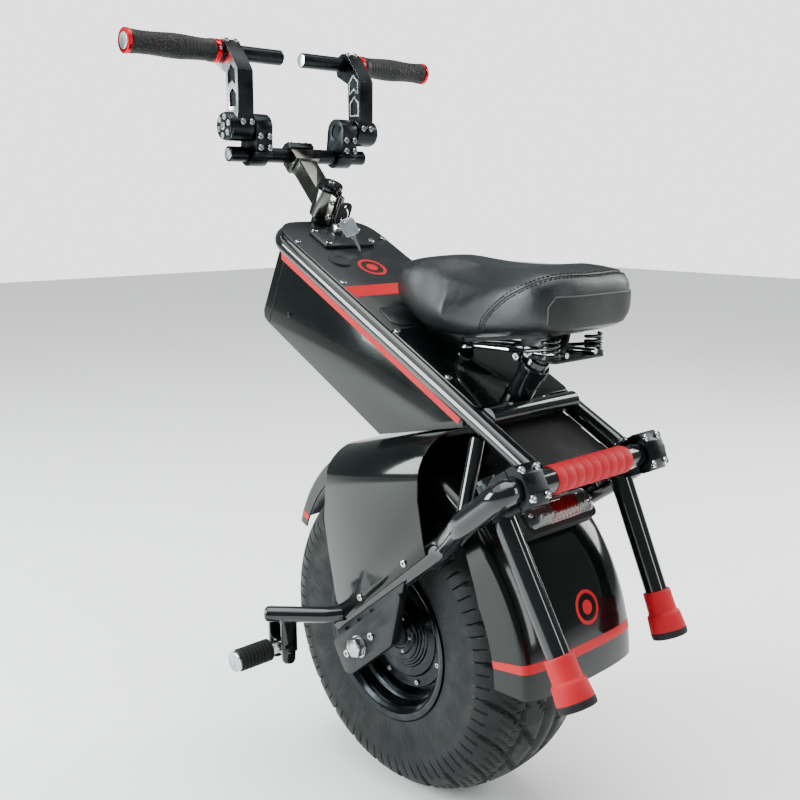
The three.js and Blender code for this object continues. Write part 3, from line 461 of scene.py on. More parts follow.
def bolt_head(radius, height, look):
    """A chamfered cylinder with a sunk hexagonal socket, standing on the origin."""
    loops = [[(r * math.cos(a), r * math.sin(a), up) for a in ring_angles(BOLT_SIDES)] for up, r in
             ((0, radius), (height * 0.8, radius), (height, radius * 0.86), (height, radius * 0.56))]
    for up in (height, height * 0.35):
        loop = []
        for a in ring_angles(BOLT_SIDES):
            flat = a % (TURN / 6) - TURN / 12
            r = radius * 0.5 * math.cos(TURN / 12) / math.cos(flat)
            loop.append((r * math.cos(a), r * math.sin(a), up))
        loops.append(loop)
    mesh = bpy.data.meshes.new("bolt_head")
    points = [Vector(point) * MM for loop in loops for point in loop]
    mesh.from_pydata(points, [], capped_faces(len(loops), BOLT_SIDES))
    face_out(mesh)
    mesh.materials.append(LOOKS[look])
    settle(mesh, 30)
    return mesh


def bolt(name, position, direction, radius, body, look, height):
    """A socket-head bolt whose head stands on a point, facing a direction."""
    key = (radius, height, look)
    if key not in BOLTS:
        BOLTS[key] = bolt_head(*key)
    obj = add(name, BOLTS[key])
    turn = Vector(direction).to_track_quat("Z", "Y")
    obj.matrix_world = Matrix.Translation(metres(position)) @ turn.to_matrix().to_4x4()
    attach(obj, body)


# ---------------------------------------------------------------- tyre
WALL = 96.5
CROWN_POWER = 2 / 2.27
PITCHES = 24


def squared(value, power):
    """A cosine or sine raised to a power, with its sign kept: it makes a circle squarer."""
    return math.copysign(abs(value) ** power, value)


def mirrored(profile):
    return [(-x, r) for x, r in reversed(profile)]


def tyre_profile():
    """The outer section from the left bead over the crown to the right bead: (x, radius)."""
    left = [(71, 104.4), (79, 105.6), (86.2, 107.4), (88.4, 112), (89.3, 118.4), (91.2, 119.4), (92.6, 122.5),
            (93.4, 127), (94.3, 133), (95.2, 140), (95.9, 148), (96.3, 156), (WALL, 164), (WALL, 172)]
    steps = [math.pi * i / 60 for i in range(1, 60)]
    crown = [(WALL * squared(math.cos(t), CROWN_POWER), 172 + 61 * math.sin(t) ** CROWN_POWER) for t in steps]
    return np.array(left + crown + mirrored(left))


def above(value, edge, width):
    """Rises smoothly from 0 to 1 as value passes an edge."""
    t = np.clip((value - edge) / width + 0.5, 0, 1)
    return t * t * (3 - 2 * t)


def below(value, edge, width):
    return 1 - above(value, edge, width)


def cuts(turn, count, half, soft):
    """Even cuts round the tyre, with half a width and a soft edge in parts of their spacing."""
    return below(np.abs((turn * count / TURN) % 1 - 0.5), half, soft)


def tread_depth(turn, u):
    """How far the surface lies inside the profile, from the turn and the arc from the crown's middle."""
    off = np.abs(u)
    # Curved grooves run back from the middle to the shoulders, a block pitch apart.
    sweep = 0.42 * np.sin(np.clip(off / 112, 0, 1) * math.pi / 2) ** 1.2
    stagger = np.where(u > 0, 0, TURN / PITCHES / 2)
    grooves = cuts(turn + stagger - sweep, PITCHES, 0.055, 0.035) * above(off, 18, 5) * below(off, 104, 8)
    # Short slots lie between them at the shoulder, with fine cuts, and rings go round the tread.
    slots = cuts(turn - 0.9 * sweep, 3 * PITCHES, 0.06, 0.05) * above(off, 100, 4) * below(off, 126, 5)
    fine = cuts(turn - 1.1 * sweep, 4 * PITCHES, 0.07, 0.06) * above(off, 60, 4) * below(off, 84, 4)
    wave = 3.0 * np.sin(turn * PITCHES)
    rings = np.maximum(below(np.abs(off - 14), 2.0, 1.6), below(np.abs(off - 50 - wave), 2.0, 1.6))
    tread = below(off, 124, 4)
    cut = np.maximum.reduce([grooves, rings * 0.9, fine * 0.45, slots * 0.6]) * tread * 4.6
    # Shoulder blocks end in a step, and the sidewall carries ribs and lozenges.
    away = np.abs((off - 158) / 13) + np.abs((((turn * 9 / math.pi) % 1) - 0.5) * 3.4)
    lozenges = below(away, 1.0, 0.15) - 0.7 * below(away, 0.72, 0.15)
    ribs = sum(below(np.abs(off - at), half, 0.9)
               for at, half in ((141, 0.9), (145, 0.9), (176, 1.2), (181, 0.8), (186, 2.2)))
    return cut + above(off, 126, 4) * 1.2 - (lozenges + ribs) * 0.9 * (1 - tread)


def make_tyre(steps=864):
    profile = tyre_profile()
    turn = np.linspace(0, TURN, steps, endpoint=False)[:, None]
    run = np.diff(profile, axis=0)
    arc = np.concatenate([[0], np.cumsum(np.hypot(run[:, 0], run[:, 1]))])
    arc -= arc[-1] / 2
    tangent = np.gradient(profile, axis=0)
    normal = np.stack([tangent[:, 1], -tangent[:, 0]], axis=1)
    normal /= np.linalg.norm(normal, axis=1)[:, None]
    outside = profile[None] - normal[None] * tread_depth(turn, arc[None])[:, :, None]
    half = [(-76, 112), (-84, 130), (-85.5, 150), (-85.5, 172), (-74, 203), (-40, 220)]
    lining = np.array(half + [(0, 222)] + mirrored(half))
    section = np.concatenate([outside, np.broadcast_to(lining, (steps, *lining.shape))], axis=1)
    x, r = section[:, :, 0], section[:, :, 1]
    verts = np.stack([x, r * np.cos(turn), r * np.sin(turn)], axis=2)
    faces = grid_faces(steps, verts.shape[1], wrap_rows=True)
    piece("tyre_tread", verts.reshape(-1, 3), faces, "tyre_rubber", "wheel", smooth=40, node="tyre")


make_tyre()


# ---------------------------------------------------------------- rim and hub motor
rim_inside = [(92.8, 117.2), (92.8, 111.5), (91.8, 108.8), (89.2, 106.6), (87.4, 103.4), (84, 100.4), (80, 99.2),
              (70.5, 98.2), (68.6, 97.2), (67.4, 95.2), (65.6, 92.6), (62.5, 90.4), (60, 89.5),
              (46.3, 89.3), (46, 80)]
rim_outside = [(60, 95), (70, 103.9), (86.5, 106.9), (89.2, 110), (90.2, 116), (91.2, 117.4)]
rim_profile = rim_inside + mirrored(rim_inside) + mirrored(rim_outside) + rim_outside
turned("rim_fine", rim_profile, "motor_black", "wheel", sides=160, smooth=25, node="wheel_rim")

cover_profile = [
    (46.4, 12.9), (46.4, 88.9), (51, 88.9), (52.2, 88.2), (52.4, 86.6), (50.6, 86), (50.6, 84.6), (54.6, 83.6),
    (55.4, 82.6), (55.6, 68.4), (56.4, 67.2), (58.2, 66.6), (58.8, 65.6), (59, 53.6), (60.2, 52.8), (61, 52),
    (61.2, 49.6), (62.6, 48.8), (63.2, 48), (63.3, 45.4), (64.8, 44.6), (65.3, 43.8), (65.4, 41.2), (67, 40.4),
    (67.4, 39.6), (67.5, 33), (69, 32), (69.8, 31), (70, 24), (68.6, 22.8), (68.4, 16), (69.6, 15), (70, 12.9)]
seal_profile = [(68.6, 13.2), (68.6, 20.5), (71.2, 20), (72, 18.6), (72, 13.6)]
for side, word in SIDES:
    turned(word + "_cover_fine", cover_profile, "motor_black", "wheel", sides=128, smooth=25, side=side,
           node=word + "_motor_cover")
    for kind, angles, ring, x, radius, height in (("cover", ring_angles(8, TURN / 16), 76, 55.5, 3.6, 2.6),
                                                  ("hub", ring_angles(6), 28, 69.0, 2.4, 1.6)):
        for i, a in enumerate(angles):
            place = (side * x, ring * math.cos(a), ring * math.sin(a))
            bolt(f"{word}_{kind}_bolt_{i}", place, X * side, radius, "wheel", "steel", height)
    turned(word + "_axle_seal", seal_profile, "black_rubber", "frame", side=side)
turned("tyre_valve", [(0, 2.6), (14, 2.6), (14.2, 3.4), (26, 3.4), (27, 2.6), (27, 0)], "black_rubber", "wheel",
       (78, -70, -62), (0.86, 0.4, 0.35), 20)


# ---------------------------------------------------------------- frame tubes
def lower(x, y):
    """A point on the slope of the lower tubes."""
    return Vector((x, y, 60.8 + 0.81 * y))


lower_half = [lower(117, -62), lower(117, 146), lower(149, 205), CROSS_TUBE + X * 149]
lower_corners = lower_half + [p - X * 2 * p.x for p in reversed(lower_half)]
tube("lower_tube_fine", lower_corners, 15.6, "tube_black", "frame", [60, 60, 16.8, 16.8, 60, 60], 12, 40,
     node="lower_frame_tube")
for side, word in SIDES:
    turned(word + "_tube_plug", [(-1.2, 0), (-1.2, 13), (0, 14.4), (0, 0)], "black_rubber", "frame",
           lower(side * 117, -62), (0, 1, 0.81), 32)
    tube(word + "_strut_fine", [(side * 88.2, 169.2, 312), (side * 130.2, 185.6, 217)], 9, "tube_black", "frame",
         node=word + "_frame_strut")

UPPER_X = 84
upper_corners = [deck(x, along, 0) for x, along in
                 ((-UPPER_X, 286), (-UPPER_X, -288), (UPPER_X, -288), (UPPER_X, 286))]
tube("upper_tube_fine", upper_corners, 12.5, "tube_black", "frame", 45, 18, 36, node="upper_frame_tube")
weld_profile = [(0, 12.4), (1.2, 13.3), (3.4, 13.6), (5.4, 13.2), (7, 12.4)]
for side, word in SIDES:
    turned(word + "_upper_weld", weld_profile, "tube_black", "frame", deck(side * UPPER_X, 279, 0), DECK_ALONG, 32)

seat_axis = Vector((0, 0.551, 0.8345)).normalized()
seat_back = Vector((0, 0.8345, -0.551))
seat_base = Vector((0, 150, 345))
collar_profile = [(-12, 14.6), (-12, 17), (46, 17), (46.6, 18.6), (47.6, 19), (58.6, 19), (60, 18), (60, 14.6)]
tube("seat_member_fine", [(-80, 178, 338), (80, 178, 338)], 12, "tube_black", "frame", sides=32)
turned("seat_tube_fine", collar_profile, "tube_black", "frame", seat_base, seat_axis, node="seat_tube")
ears = rounded([(-7, 47.5, 1), (7, 47.5, 1), (7, 59, 1), (-7, 59, 1)])
plate("seat_clamp_ears", ears, 18, 30, basis(X, seat_axis, -seat_back, seat_base), "tube_black", "frame")
for name, facing, radius, height in (("bolt", X, 5.2, 5), ("nut", -X, 5, 4)):
    place = seat_base + seat_axis * 53.2 + facing * 7 - seat_back * 24
    bolt("seat_clamp_" + name, place, facing, radius, "frame", "chrome", height)

# Ribbed red sleeve on the cross tube
ribs = [(-71 + 142 * step / 108, 16.2 + 1.25 * abs(math.sin(math.pi * step / 12)) ** 0.7) for step in range(109)]
turned("red_sleeve", [(-71, 16)] + ribs + [(71.1, 16)], "red_rubber", "frame", CROSS_TUBE, sides=64, smooth=60,
       node="cross_tube_grip")


# ---------------------------------------------------------------- axle, plates and pegs
peg_ribs = [(212, 9.3), (212, 13.4), (212.8, 13.8)]
for x in (213 + 5.5 * i for i in range(9)):
    peg_ribs += [(x, 13.6), (x + 0.4, 15.4), (x + 3.5, 15.4), (x + 3.9, 13.6)]
peg_ribs += [(262.6, 14), (263.5, 13.4), (263.5, 9.3)]
arm_end = [(0, 11), (1.5, 10.8), (3.5, 9.6), (5, 7.4), (6, 4), (6.3, 0)]
peg_cap = [(263.8, 9), (263.8, 13.6), (266, 14.2), (268, 13.8), (269, 12), (269, 0)]
hexagon = [(14 * math.cos(a), 14 * math.sin(a)) for a in ring_angles(6, 0.3)]
peg_axis = (0, -105, -18)
for side, word in SIDES:
    peg = word + "_peg"
    refine(word + "_axle_plate", "satin_black", 0.8)
    washer = [(136.3, 8.3), (136.3, 15.2), (138, 15.2), (138, 8.3)]
    turned(word + "_axle_nut_fine", washer, "steel", "frame", sides=40, side=side)
    plate(word + "_axle_hex", hexagon, 138.1, 148.4, outward(side), "steel", "frame", 1.2, 3, word + "_axle_nut")
    for k in (-1, 1):
        place = (side * 136, -25.6 * k, 2 - 21.6 * k)
        bolt(f"{word}_plate_bolt_{k + 1}", place, X * side, 5.4, "frame", "steel", 3.5)
    for k in range(3):
        place = (side * 128.9, 27 * k - 34, 12 + 21.6 * k)
        bolt(f"{word}_plate_stud_{k}", place, X * side, 3.2, "frame", "tube_black", 2.6)
    arm_path = [Vector((side * x, y, z)) for x, y, z in ((132.6, -43.5, 32), (151, -53, 32), (207, -111, 31))]
    tube(word + "_peg_arm_fine", arm_path, 11, "tube_black", "frame", 25, sides=32)
    turned(word + "_peg_arm_end", arm_end, "tube_black", "frame", arm_path[2], arm_path[2] - arm_path[1], 32,
           closed=False)
    refine(word + "_peg_arm", "tube_black", 0.7)
    refine(word + "_foot_peg", "steel", 0.6)
    turned(word + "_peg_rubber_fine", peg_ribs, "black_rubber", peg, peg_axis, sides=56, side=side,
           node=word + "_peg_rubber")
    turned(word + "_peg_cap", peg_cap, "cap_silver", peg, peg_axis, closed=False, side=side)
    bolt(word + "_peg_pin_head", (side * 189, -88, -18), Y, 6.4, "frame", "tube_black", 4)
    bolt(word + "_peg_pin_nut", (side * 189, -122, -18), -Y, 6.4, "frame", "tube_black", 4)


# ---------------------------------------------------------------- shroud and fenders
def sheet_piece(name, top, bottom, look, body, node=None):
    """A thin sheet between two grids of points with the same rows and columns."""
    rows, columns = len(top), len(top[0])
    count = rows * columns
    faces = []
    for a, b, c, d in grid_faces(rows, columns, wrap_columns=False):
        faces += [(a, b, c, d), (count + a, count + d, count + c, count + b)]
    edges = [(a, a + columns) for i in range(rows - 1) for a in (i * columns, i * columns + columns - 1)]
    edges += [(a, a + 1) for k in range(columns - 1) for a in (k, (rows - 1) * columns + k)]
    faces += [(a, b, count + b, count + a) for a, b in edges]
    return piece(name, [p for row in top + bottom for p in row], faces, look, body, smooth=40, node=node)


def fender_row(angle, crown, half, drop, skirt, centre, offset, across=40):
    """Points across a fender at one angle: an arched crown, a rounded shoulder and a straight skirt."""
    w, r = half + offset, crown + offset
    points = [(-w, r - drop - skirt + t * skirt) for t in (0, 0.25, 0.5, 0.75)]
    for i in range(across + 1):
        a = math.pi * i / across
        points.append((-squared(math.cos(a), 0.86) * w, r - drop + drop * math.sin(a) ** 0.8))
    points += [(w, r - drop - t * skirt) for t in (0.25, 0.5, 0.75, 1)]
    turn = math.radians(angle)
    return [Vector((x, centre[0] + out * math.cos(turn), centre[1] + out * math.sin(turn))) for x, out in points]


def rear_section(t):
    """Angle, crown radius, half width, shoulder drop and skirt, with t from the upper end to the tip."""
    angle = 84 - 81 * t
    half = min(104, max(99, 104 - (angle - 40) * 0.4))
    return angle, 283, half, 20, min(44, max(14, 44 - max(0, angle - 30) * 1.1))


def front_section(t):
    return 104 + 54 * t, 263, 75 - 19.8 * t, 12, 22 - 9 * t


def fender(name, section, centre, look, t0=0.0, t1=1.0, outer=0.0, inner=-2.5, rows=44, node=None):
    sections = [section(t0 + (t1 - t0) * i / (rows - 1)) for i in range(rows)]
    top = [fender_row(*s, centre, outer) for s in sections]
    bottom = [fender_row(*s[:4], s[4] + inner, centre, inner) for s in sections]
    sheet_piece(name, top, bottom, look, "frame", node)


for name, section, centre, stripe in (("rear_fender", rear_section, (0, 0), (0.884, 0.914)),
                                      ("front_fender", front_section, (-6, 4), (0.90, 0.945))):
    fender(name + "_fine", section, centre, "gloss_black", node=name)
    fender(name + "_stripe", section, centre, "red_stripe", *stripe, 0.28, 0.02, 6)
refine("wheel_shroud", "gloss_black", 0.8)
for side, word in SIDES:
    for k, (y, z) in enumerate(((90, 144), (3, 71))):
        bolt(f"{word}_shroud_screw_{k}", (side * 135.8, y, z), X * side, 4.6, "frame", "steel", 2.4)


# ---------------------------------------------------------------- battery case and covers


def disc(name, centre, normal, outer, inner, sides):
    """A plain flat ring or dot, as thin as a sticker."""
    profile = [(0.02, inner), (0.3, inner), (0.3, outer), (0.02, outer)]
    turned(name, profile, "red_stripe", "frame", centre, normal, sides)


refine("battery_case", "gloss_black", 2.2, 3)
CASE_SIDE = 80
STICKER_LOW = CASE_SIDE + 0.02
stripe_ends = [deck(0, along, up) for along, up in ((-262, -15), (157, -15), (157, -27), (-256, -27))]
seam_ends = [(-279, 411.5), (-277.6, 411), (-247, 478), (-230, 511), (-231.4, 512)]
for side, word in SIDES:
    stripe = [(p.y * side, p.z) for p in stripe_ends]
    plate(word + "_case_stripe", stripe, STICKER_LOW, CASE_SIDE + 0.35, outward(side), "red_stripe", "frame", 0)
    bolt(word + "_case_bolt", (side * CASE_SIDE, -225, 427), X * side, 3.8, "frame", "tube_black", 2)
    seam = [(y * side, z) for y, z in seam_ends]
    plate(word + "_case_seam", seam, STICKER_LOW, CASE_SIDE + 0.3, outward(side), "black_rubber", "frame", 0)
refine("front_cover", "satin_black", 0.7)
refine("rear_cover", "gloss_black", 0.7)
refine("dash_plate", "satin_black", 1.0)
COVER_TOP = 15.8
band = [(-86.2, -104), (86.2, -104), (86.2, -77), (-86.2, -77)]
plate("cover_stripe", band, COVER_TOP + 0.02, COVER_TOP + 0.3, DECK, "red_stripe", "frame", 0)
disc("cover_emblem", deck(2, -150, COVER_TOP), DECK_UP, 22, 17, 64)
disc("cover_emblem_dot", deck(2, -150, COVER_TOP), DECK_UP, 9, 0, 48)


def fender_spot(x, arc, lift):
    """A point on the rear fender, from its middle line and an arc length up from the mark's height."""
    across = min(1, (abs(x) / 102) ** (1 / 0.86))
    out = 263 + 20 * math.sqrt(1 - across * across) ** 0.8 + lift
    turn = math.radians(20.5) - arc / 283
    return Vector((x, out * math.cos(turn), out * math.sin(turn)))


for number, (low, high) in enumerate(((0.5, 9), (17, 21.5))):
    radii = (low, (low + high) / 2, high)
    rows = [[fender_spot(r * math.cos(a) - 12, r * math.sin(a), 0.3) for r in radii]
            for a in ring_angles(48) + [TURN]]
    under = [[p * ((p.length - 0.25) / p.length) for p in row] for row in rows]
    sheet_piece(f"fender_emblem_{number}", rows, under, "red_stripe", "frame")
for i, (along, level) in enumerate(((-230.6, 15.8), (-115.1, 15.8), (9.4, 15.3), (115.9, 15.3))):
    for side in (-1, 1):
        place = deck(side * 80, along, level)
        bolt(f"cover_screw_{i}_{side + 1}", place, DECK_UP, 4.6, "frame", "steel", 2.2)
for i, (x, along) in four(40, 18.5):
    bolt(f"dash_bolt_{i}", deck(x, along - 230.5, 21.8), DECK_UP, 4.8, "frame", "chrome", 3.6)
turned("charge_cap", [(0, 0), (0, 17), (2.4, 16.6), (3.2, 15.6), (3.2, 9), (2.2, 8), (2.2, 0)], "black_rubber",
       "frame", deck(46, -172, COVER_TOP), DECK_UP, closed=False)
flap = rounded([(22, -46, 8), (72, -46, 8), (76, 0, 14), (26, 0, 8)])
plate("cover_flap", flap, COVER_TOP + 0.02, 17.6, DECK, "satin_black", "frame", 0.7)
splash = rounded([(-70.8, 184, 4), (70.8, 184, 4), (70.8, 281, 4), (-70.8, 281, 4)])
plate("splash_panel", splash, -9, -7, DECK, "black_rubber", "frame", 0.5)


# ---------------------------------------------------------------- switch and keys
switch_top = deck(0, -244, 33)
refine("key_switch", "chrome", 0.8)
turned("switch_collar", [(0, 3.4), (0, 8.2), (0.8, 8.8), (1.6, 8.2), (1.6, 3.4)], "chrome", "frame", switch_top,
       DECK_UP, 40)
refine("ignition_key", "black_rubber", 0.7)
ring_at = switch_top + DECK_UP * 20 + Vector((5, 8, -4))
wire = [(0.8 * math.cos(a), 11.5 + 0.8 * math.sin(a)) for a in ring_angles(12)]
turned("key_ring", wire, "chrome", "ignition_key", ring_at, (0.95, -0.25, 0.2))
VIEW_BACK = Vector((0.6582, 0.7271, 0.1953))
spare_up = Vector((0.2009, -0.4189, 0.883)).normalized()
spare_facing = (VIEW_BACK - spare_up * spare_up.dot(VIEW_BACK)).normalized()
spare = basis(spare_up.cross(spare_facing), spare_up, spare_facing, switch_top + Vector((4.6, 26.3, -0.6)))
bow = rounded([(-10, -15, 4), (10, -15, 4), (12.5, 12, 7), (-12.5, 12, 7)])
plate("spare_key_bow", bow, -1.6, 1.6, spare, "cap_silver", "ignition_key", 0.8)
blade = [(-4, -15.2), (4, -15.2), (4, -18), (2.6, -19), (2.2, -36), (0.6, -41), (-1.6, -38), (-1.2, -33), (-2, -30),
         (-1.4, -26), (-2.6, -19), (-4, -18)]
plate("spare_key_blade", blade, -0.9, 0.9, spare, "chrome", "ignition_key", 0.25)


# ---------------------------------------------------------------- post, stem and crossbar
POST_ALONG = -289
post = [(3, 12), (3, 16.6), (5, 16.6), (8, 15.4), (13, 14.4), (16, 14.3), (73.8, 14.3), (75, 13.2), (75, 9), (60, 9),
        (60, 0)]
turned("post_fine", post, "tube_black", "frame", deck(0, POST_ALONG, 0), DECK_UP, closed=False,
       node="steering_post")
crossbar_at = Vector((0, -303.6, 658.8))
stem_along = (crossbar_at - deck(0, POST_ALONG, 48)).normalized()
stem_across = X.cross(stem_along)
refine("stem", "polished_dark", 1.4, 3)
refine("stem_faceplate", "anodised", 1.2, 3)
for i, (x, off) in four(14, 11):
    place = crossbar_at + stem_along * 14.6 + stem_across * off + X * x
    bolt(f"faceplate_bolt_{i}", place, stem_along, 3.8, "stem", "steel", 3)
for i, up in enumerate((36, 60)):
    bolt(f"stem_clamp_bolt_{i}", deck(7.5, -264, up), X, 4.4, "stem", "chrome", 4)
    bolt(f"stem_clamp_nut_{i}", deck(-7.5, -264, up), -X, 4.2, "stem", "steel", 3)
stem_cap = [(0, 0), (0, 18.6), (2.4, 18.8), (4.2, 17.6), (4.8, 14), (4.8, 5), (4, 4.6), (4, 0)]
turned("stem_cap", stem_cap, "anodised", "stem", deck(0, POST_ALONG, 75.2), DECK_UP, closed=False)
bolt("stem_cap_bolt", deck(0, POST_ALONG, 79.6), DECK_UP, 4.6, "stem", "steel", 3)
bar = [(-125.5, 8.6), (-125.5, 10.6), (-125, 11.1), (125, 11.1), (125.5, 10.6), (125.5, 8.6)]
turned("crossbar_fine", bar, "anodised", "stem", crossbar_at, node="crossbar")
for side, word in SIDES:
    turned(word + "_crossbar_plug", [(118, 8.4), (125.6, 8.4), (127, 7.6), (127.4, 0)], "cap_silver", "stem",
           crossbar_at, sides=40, closed=False, side=side)


# ---------------------------------------------------------------- risers, handlebars and grips
def edged(node, look, width, plane):
    """The node's shape with bare metal on its chamfers and on the faces at a distance from the middle."""
    obj = copied(node)
    obj.data.materials.clear()
    for name in (look, "machined_edge"):
        obj.data.materials.append(LOOKS[name])
    bevel(obj, width, 1, slot=1)
    for face in obj.data.polygons:
        away = abs(face.center.x - AXLE.x) / MM
        if abs(face.normal.x) > 0.95 and abs(away - plane) < 0.6:
            face.material_index = 1
    settle(obj.data, 30)
    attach(obj, BODY_OF[node])
    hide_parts(node)


def frame_line(name, outline, width, low, high, look, body, matrix):
    """A narrow raised border that follows an outline."""
    centre = sum((Vector(p) for p in outline), Vector((0, 0))) / len(outline)
    inner = [tuple(Vector(p) + (centre - Vector(p)).normalized() * width) for p in outline]
    loops = ((outline, low), (outline, high), (inner, high), (inner, low))
    verts = [(x, y, level) for loop, level in loops for x, y in loop]
    piece(name, verts, grid_faces(4, len(outline), wrap_rows=True), look, body, matrix)


def grip_profile():
    """A ribbed grip that swells at the palm and at both ends."""
    profile = [(137.2, 11.4), (137.2, 15.2)]
    for x in np.linspace(138, 266, 90):
        swell = 15.6 + 1.7 * math.sin(math.pi * min(1, max(0, (x - 150) / 92))) ** 2
        swell += 0.9 * math.exp(-((x - 141) / 3.5) ** 2) + 0.7 * math.exp(-((x - 263) / 4) ** 2)
        groove = 0.55 * (0.5 + 0.5 * math.cos(TURN * (x - 138) / 5.7)) if 148 < x < 252 else 0
        profile.append((x, swell - groove))
    return profile + [(267.4, 15), (267.4, 11.4)]


hub = Vector((0, -295, 697))
grip_bar = Vector((0, -318, 803))
window = [(-299, 722), (-277, 722), (-277, 743), (-288, 753), (-299, 743)]
slot = [(-301, 755), (-288, 762), (-278, 755), (-278, 775), (-290, 786), (-301, 775)]
hole_profile = [(0, 0), (0, 3.1), (0.7, 3.3), (0.7, 4.4), (0, 4.4)]
bar_profile = [(20.3, 8.8), (20.3, 10.6), (20.8, 11.1), (270.8, 11.1), (271, 10.9), (271, 8.8)]
bar_plug = [(28, 8.6), (20.2, 8.6), (18.8, 9.6), (18.2, 8), (18.2, 0)]
lock_ring = [(129.5, 11.4), (129.5, 15.6), (130.3, 16.6), (136.2, 16.6), (137, 15.6), (137, 11.4)]
end_ring = [(267.6, 11.4), (267.6, 16), (268.4, 17), (273, 17), (273.8, 16), (273.8, 11.4)]
grip_cap = [(271.4, 11.2), (273.9, 11.2), (274.4, 10.4), (274.4, 0)]
for side, word in SIDES:
    out = X * side
    riser, arm = word + "_riser", word + "_arm"
    refine(word + "_riser_clamp", "anodised", 1.2, 3)
    edged(word + "_riser_arm", "anodised", 0.9, 125)
    for number, shape in enumerate((window, slot)):
        drawn = [(-side * y, z) for y, z in shape]
        border = f"{word}_arm_border_{number}"
        frame_line(border, drawn, 2.86, -99.1, -98.6, "machined_edge", arm, outward(-side))
    for i, (x, z) in four(8, 8):
        bolt(f"{word}_riser_bolt_{i}", (side * (80 + x), -276.6, 676 + z), Y, 4.4, riser, "steel", 4)
    for i, a in enumerate(ring_angles(6, 0.3)):
        place = hub + out * 137 + Vector((0, 13.2 * math.cos(a), 13.2 * math.sin(a)))
        turned(f"{word}_hub_hole_{i}", hole_profile, "machined_edge", arm, place, out, 20, closed=False)
    bolt(word + "_hub_centre", hub + out * 137, out, 5.6, arm, "steel", 2.4)
    for i, x in enumerate((104, 119)):
        bolt(f"{word}_hub_pinch_{i}", (side * x, -273.6, 703), Y, 4.2, arm, "steel", 4)
        bolt(f"{word}_bar_pinch_{i}", (side * x, -309.5, 817.5), (0, 0.5, 0.87), 4.0, arm, "steel", 3)
    turned(word + "_handlebar_fine", bar_profile, "anodised", arm, grip_bar, side=side, node=word + "_handlebar")
    turned(word + "_bar_plug", bar_plug, "cap_silver", arm, grip_bar, sides=40, closed=False, side=side)
    turned(word + "_lock_ring", lock_ring, "red_anodised", arm, grip_bar, sides=56, side=side)
    bolt(word + "_lock_screw", (side * 133, -301.8, 805), (0, 1, 0.12), 2.2, arm, "steel", 1.4)
    turned(word + "_grip_fine", grip_profile(), "grip_rubber", arm, grip_bar, sides=64, smooth=50, side=side,
           node=word + "_grip")
    turned(word + "_end_ring", end_ring, "red_anodised", arm, grip_bar, sides=56, side=side)
    turned(word + "_grip_cap", grip_cap, "cap_silver", arm, grip_bar, sides=40, closed=False, side=side)


# ---------------------------------------------------------------- rear prop legs
cup_profile = [(0, 14.5), (0, 16.6), (1.2, 17.5), (4, 17.7), (26, 18.2), (28, 18.8), (29.5, 20.6), (31.5, 21.4),
               (40, 22), (49, 22.9), (50.8, 22.6), (51.5, 21.6), (51.5, 14)]
sole_profile = [(50.8, 0), (50.8, 22.6), (52, 23.2), (58, 22.8), (59.4, 21.8), (60, 20), (60, 12), (58.8, 11),
                (58.8, 0)]


def prop_leg(side, word, lean, top):
    """A leg that leans by an angle in degrees, with its cup starting a distance below the clamp."""
    a = math.radians(lean)
    along = Vector((0, math.cos(a), math.sin(a)))
    off = Vector((0, math.sin(a), -math.cos(a)))
    pivot = CROSS_TUBE + X * side * 115
    origin = pivot + off * 45.7
    clamp, leg = word + "_leg_clamp", word + "_leg"
    refine(clamp, "anodised", 1.4, 3)
    refine(clamp + "_cap", "anodised", 1.4, 3)
    for i, (x, t) in four(12.4, 17):
        place = pivot + X * x + along * t - off * 17.6
        bolt(f"{word}_cap_bolt_{i}", place, -off, 4.6, clamp, "chrome", 4.5)
    tube_profile = [(-28, 0), (-28, 13.2), (-27, 14.3), (top + 30, 14.3), (top + 30, 0)]
    turned(leg + "_fine", tube_profile, "tube_black", leg, origin, along, closed=False, node=leg)
    cup_at = origin + along * top
    turned(word + "_cup_fine", cup_profile, "red_rubber", leg, cup_at, along, 56, 40, node=word + "_foot_cup")
    turned(word + "_sole_fine", sole_profile, "black_rubber", leg, cup_at, along, 56, closed=False,
           node=word + "_foot_sole")


prop_leg(1, "left", -58.6, 184)
prop_leg(-1, "right", -65.7, 173)


# ---------------------------------------------------------------- tail light
light_angle = math.radians(44.4)
light_out = Vector((0, math.cos(light_angle), math.sin(light_angle)))
light_up = Vector((0, -math.sin(light_angle), math.cos(light_angle)))


def lofted_block(name, rings, look, width=1.0, node=None):
    """A block through outlines at rising levels: each ring is (level, half width, half height, corner)."""
    loops = [[(x, y, level) for x, y in rounded_box(half, high, corner)] for level, half, high, corner in rings]
    verts = [point for loop in loops for point in loop]
    piece(name, verts, capped_faces(len(loops), len(loops[0])), look, "frame", basis(-X, light_up, light_out),
          width=width, segments=3, node=node)


lofted_block("tail_housing", [(284.4, 60, 19, 9), (296, 65, 22.4, 10), (311.8, 65, 22.4, 10)], "black_rubber",
             node="tail_light_body")
lofted_block("tail_lens", [(312.3, 61, 17, 8), (319, 57, 14.5, 8), (326.4, 46, 8, 6), (327, 30, 6, 5)], "smoke_lens",
             1.6, "tail_light_lens")
lofted_block("tail_red_lens", [(312.1, 30, 17.6, 6), (319.4, 30, 15.4, 6), (327.4, 24, 9, 5)], "red_lens", 1.4)
for side in (-1, 1):
    bolt(f"tail_screw_{side + 1}", X * side * 57 + light_out * 319.2, light_out, 3.0, "frame", "steel", 2)


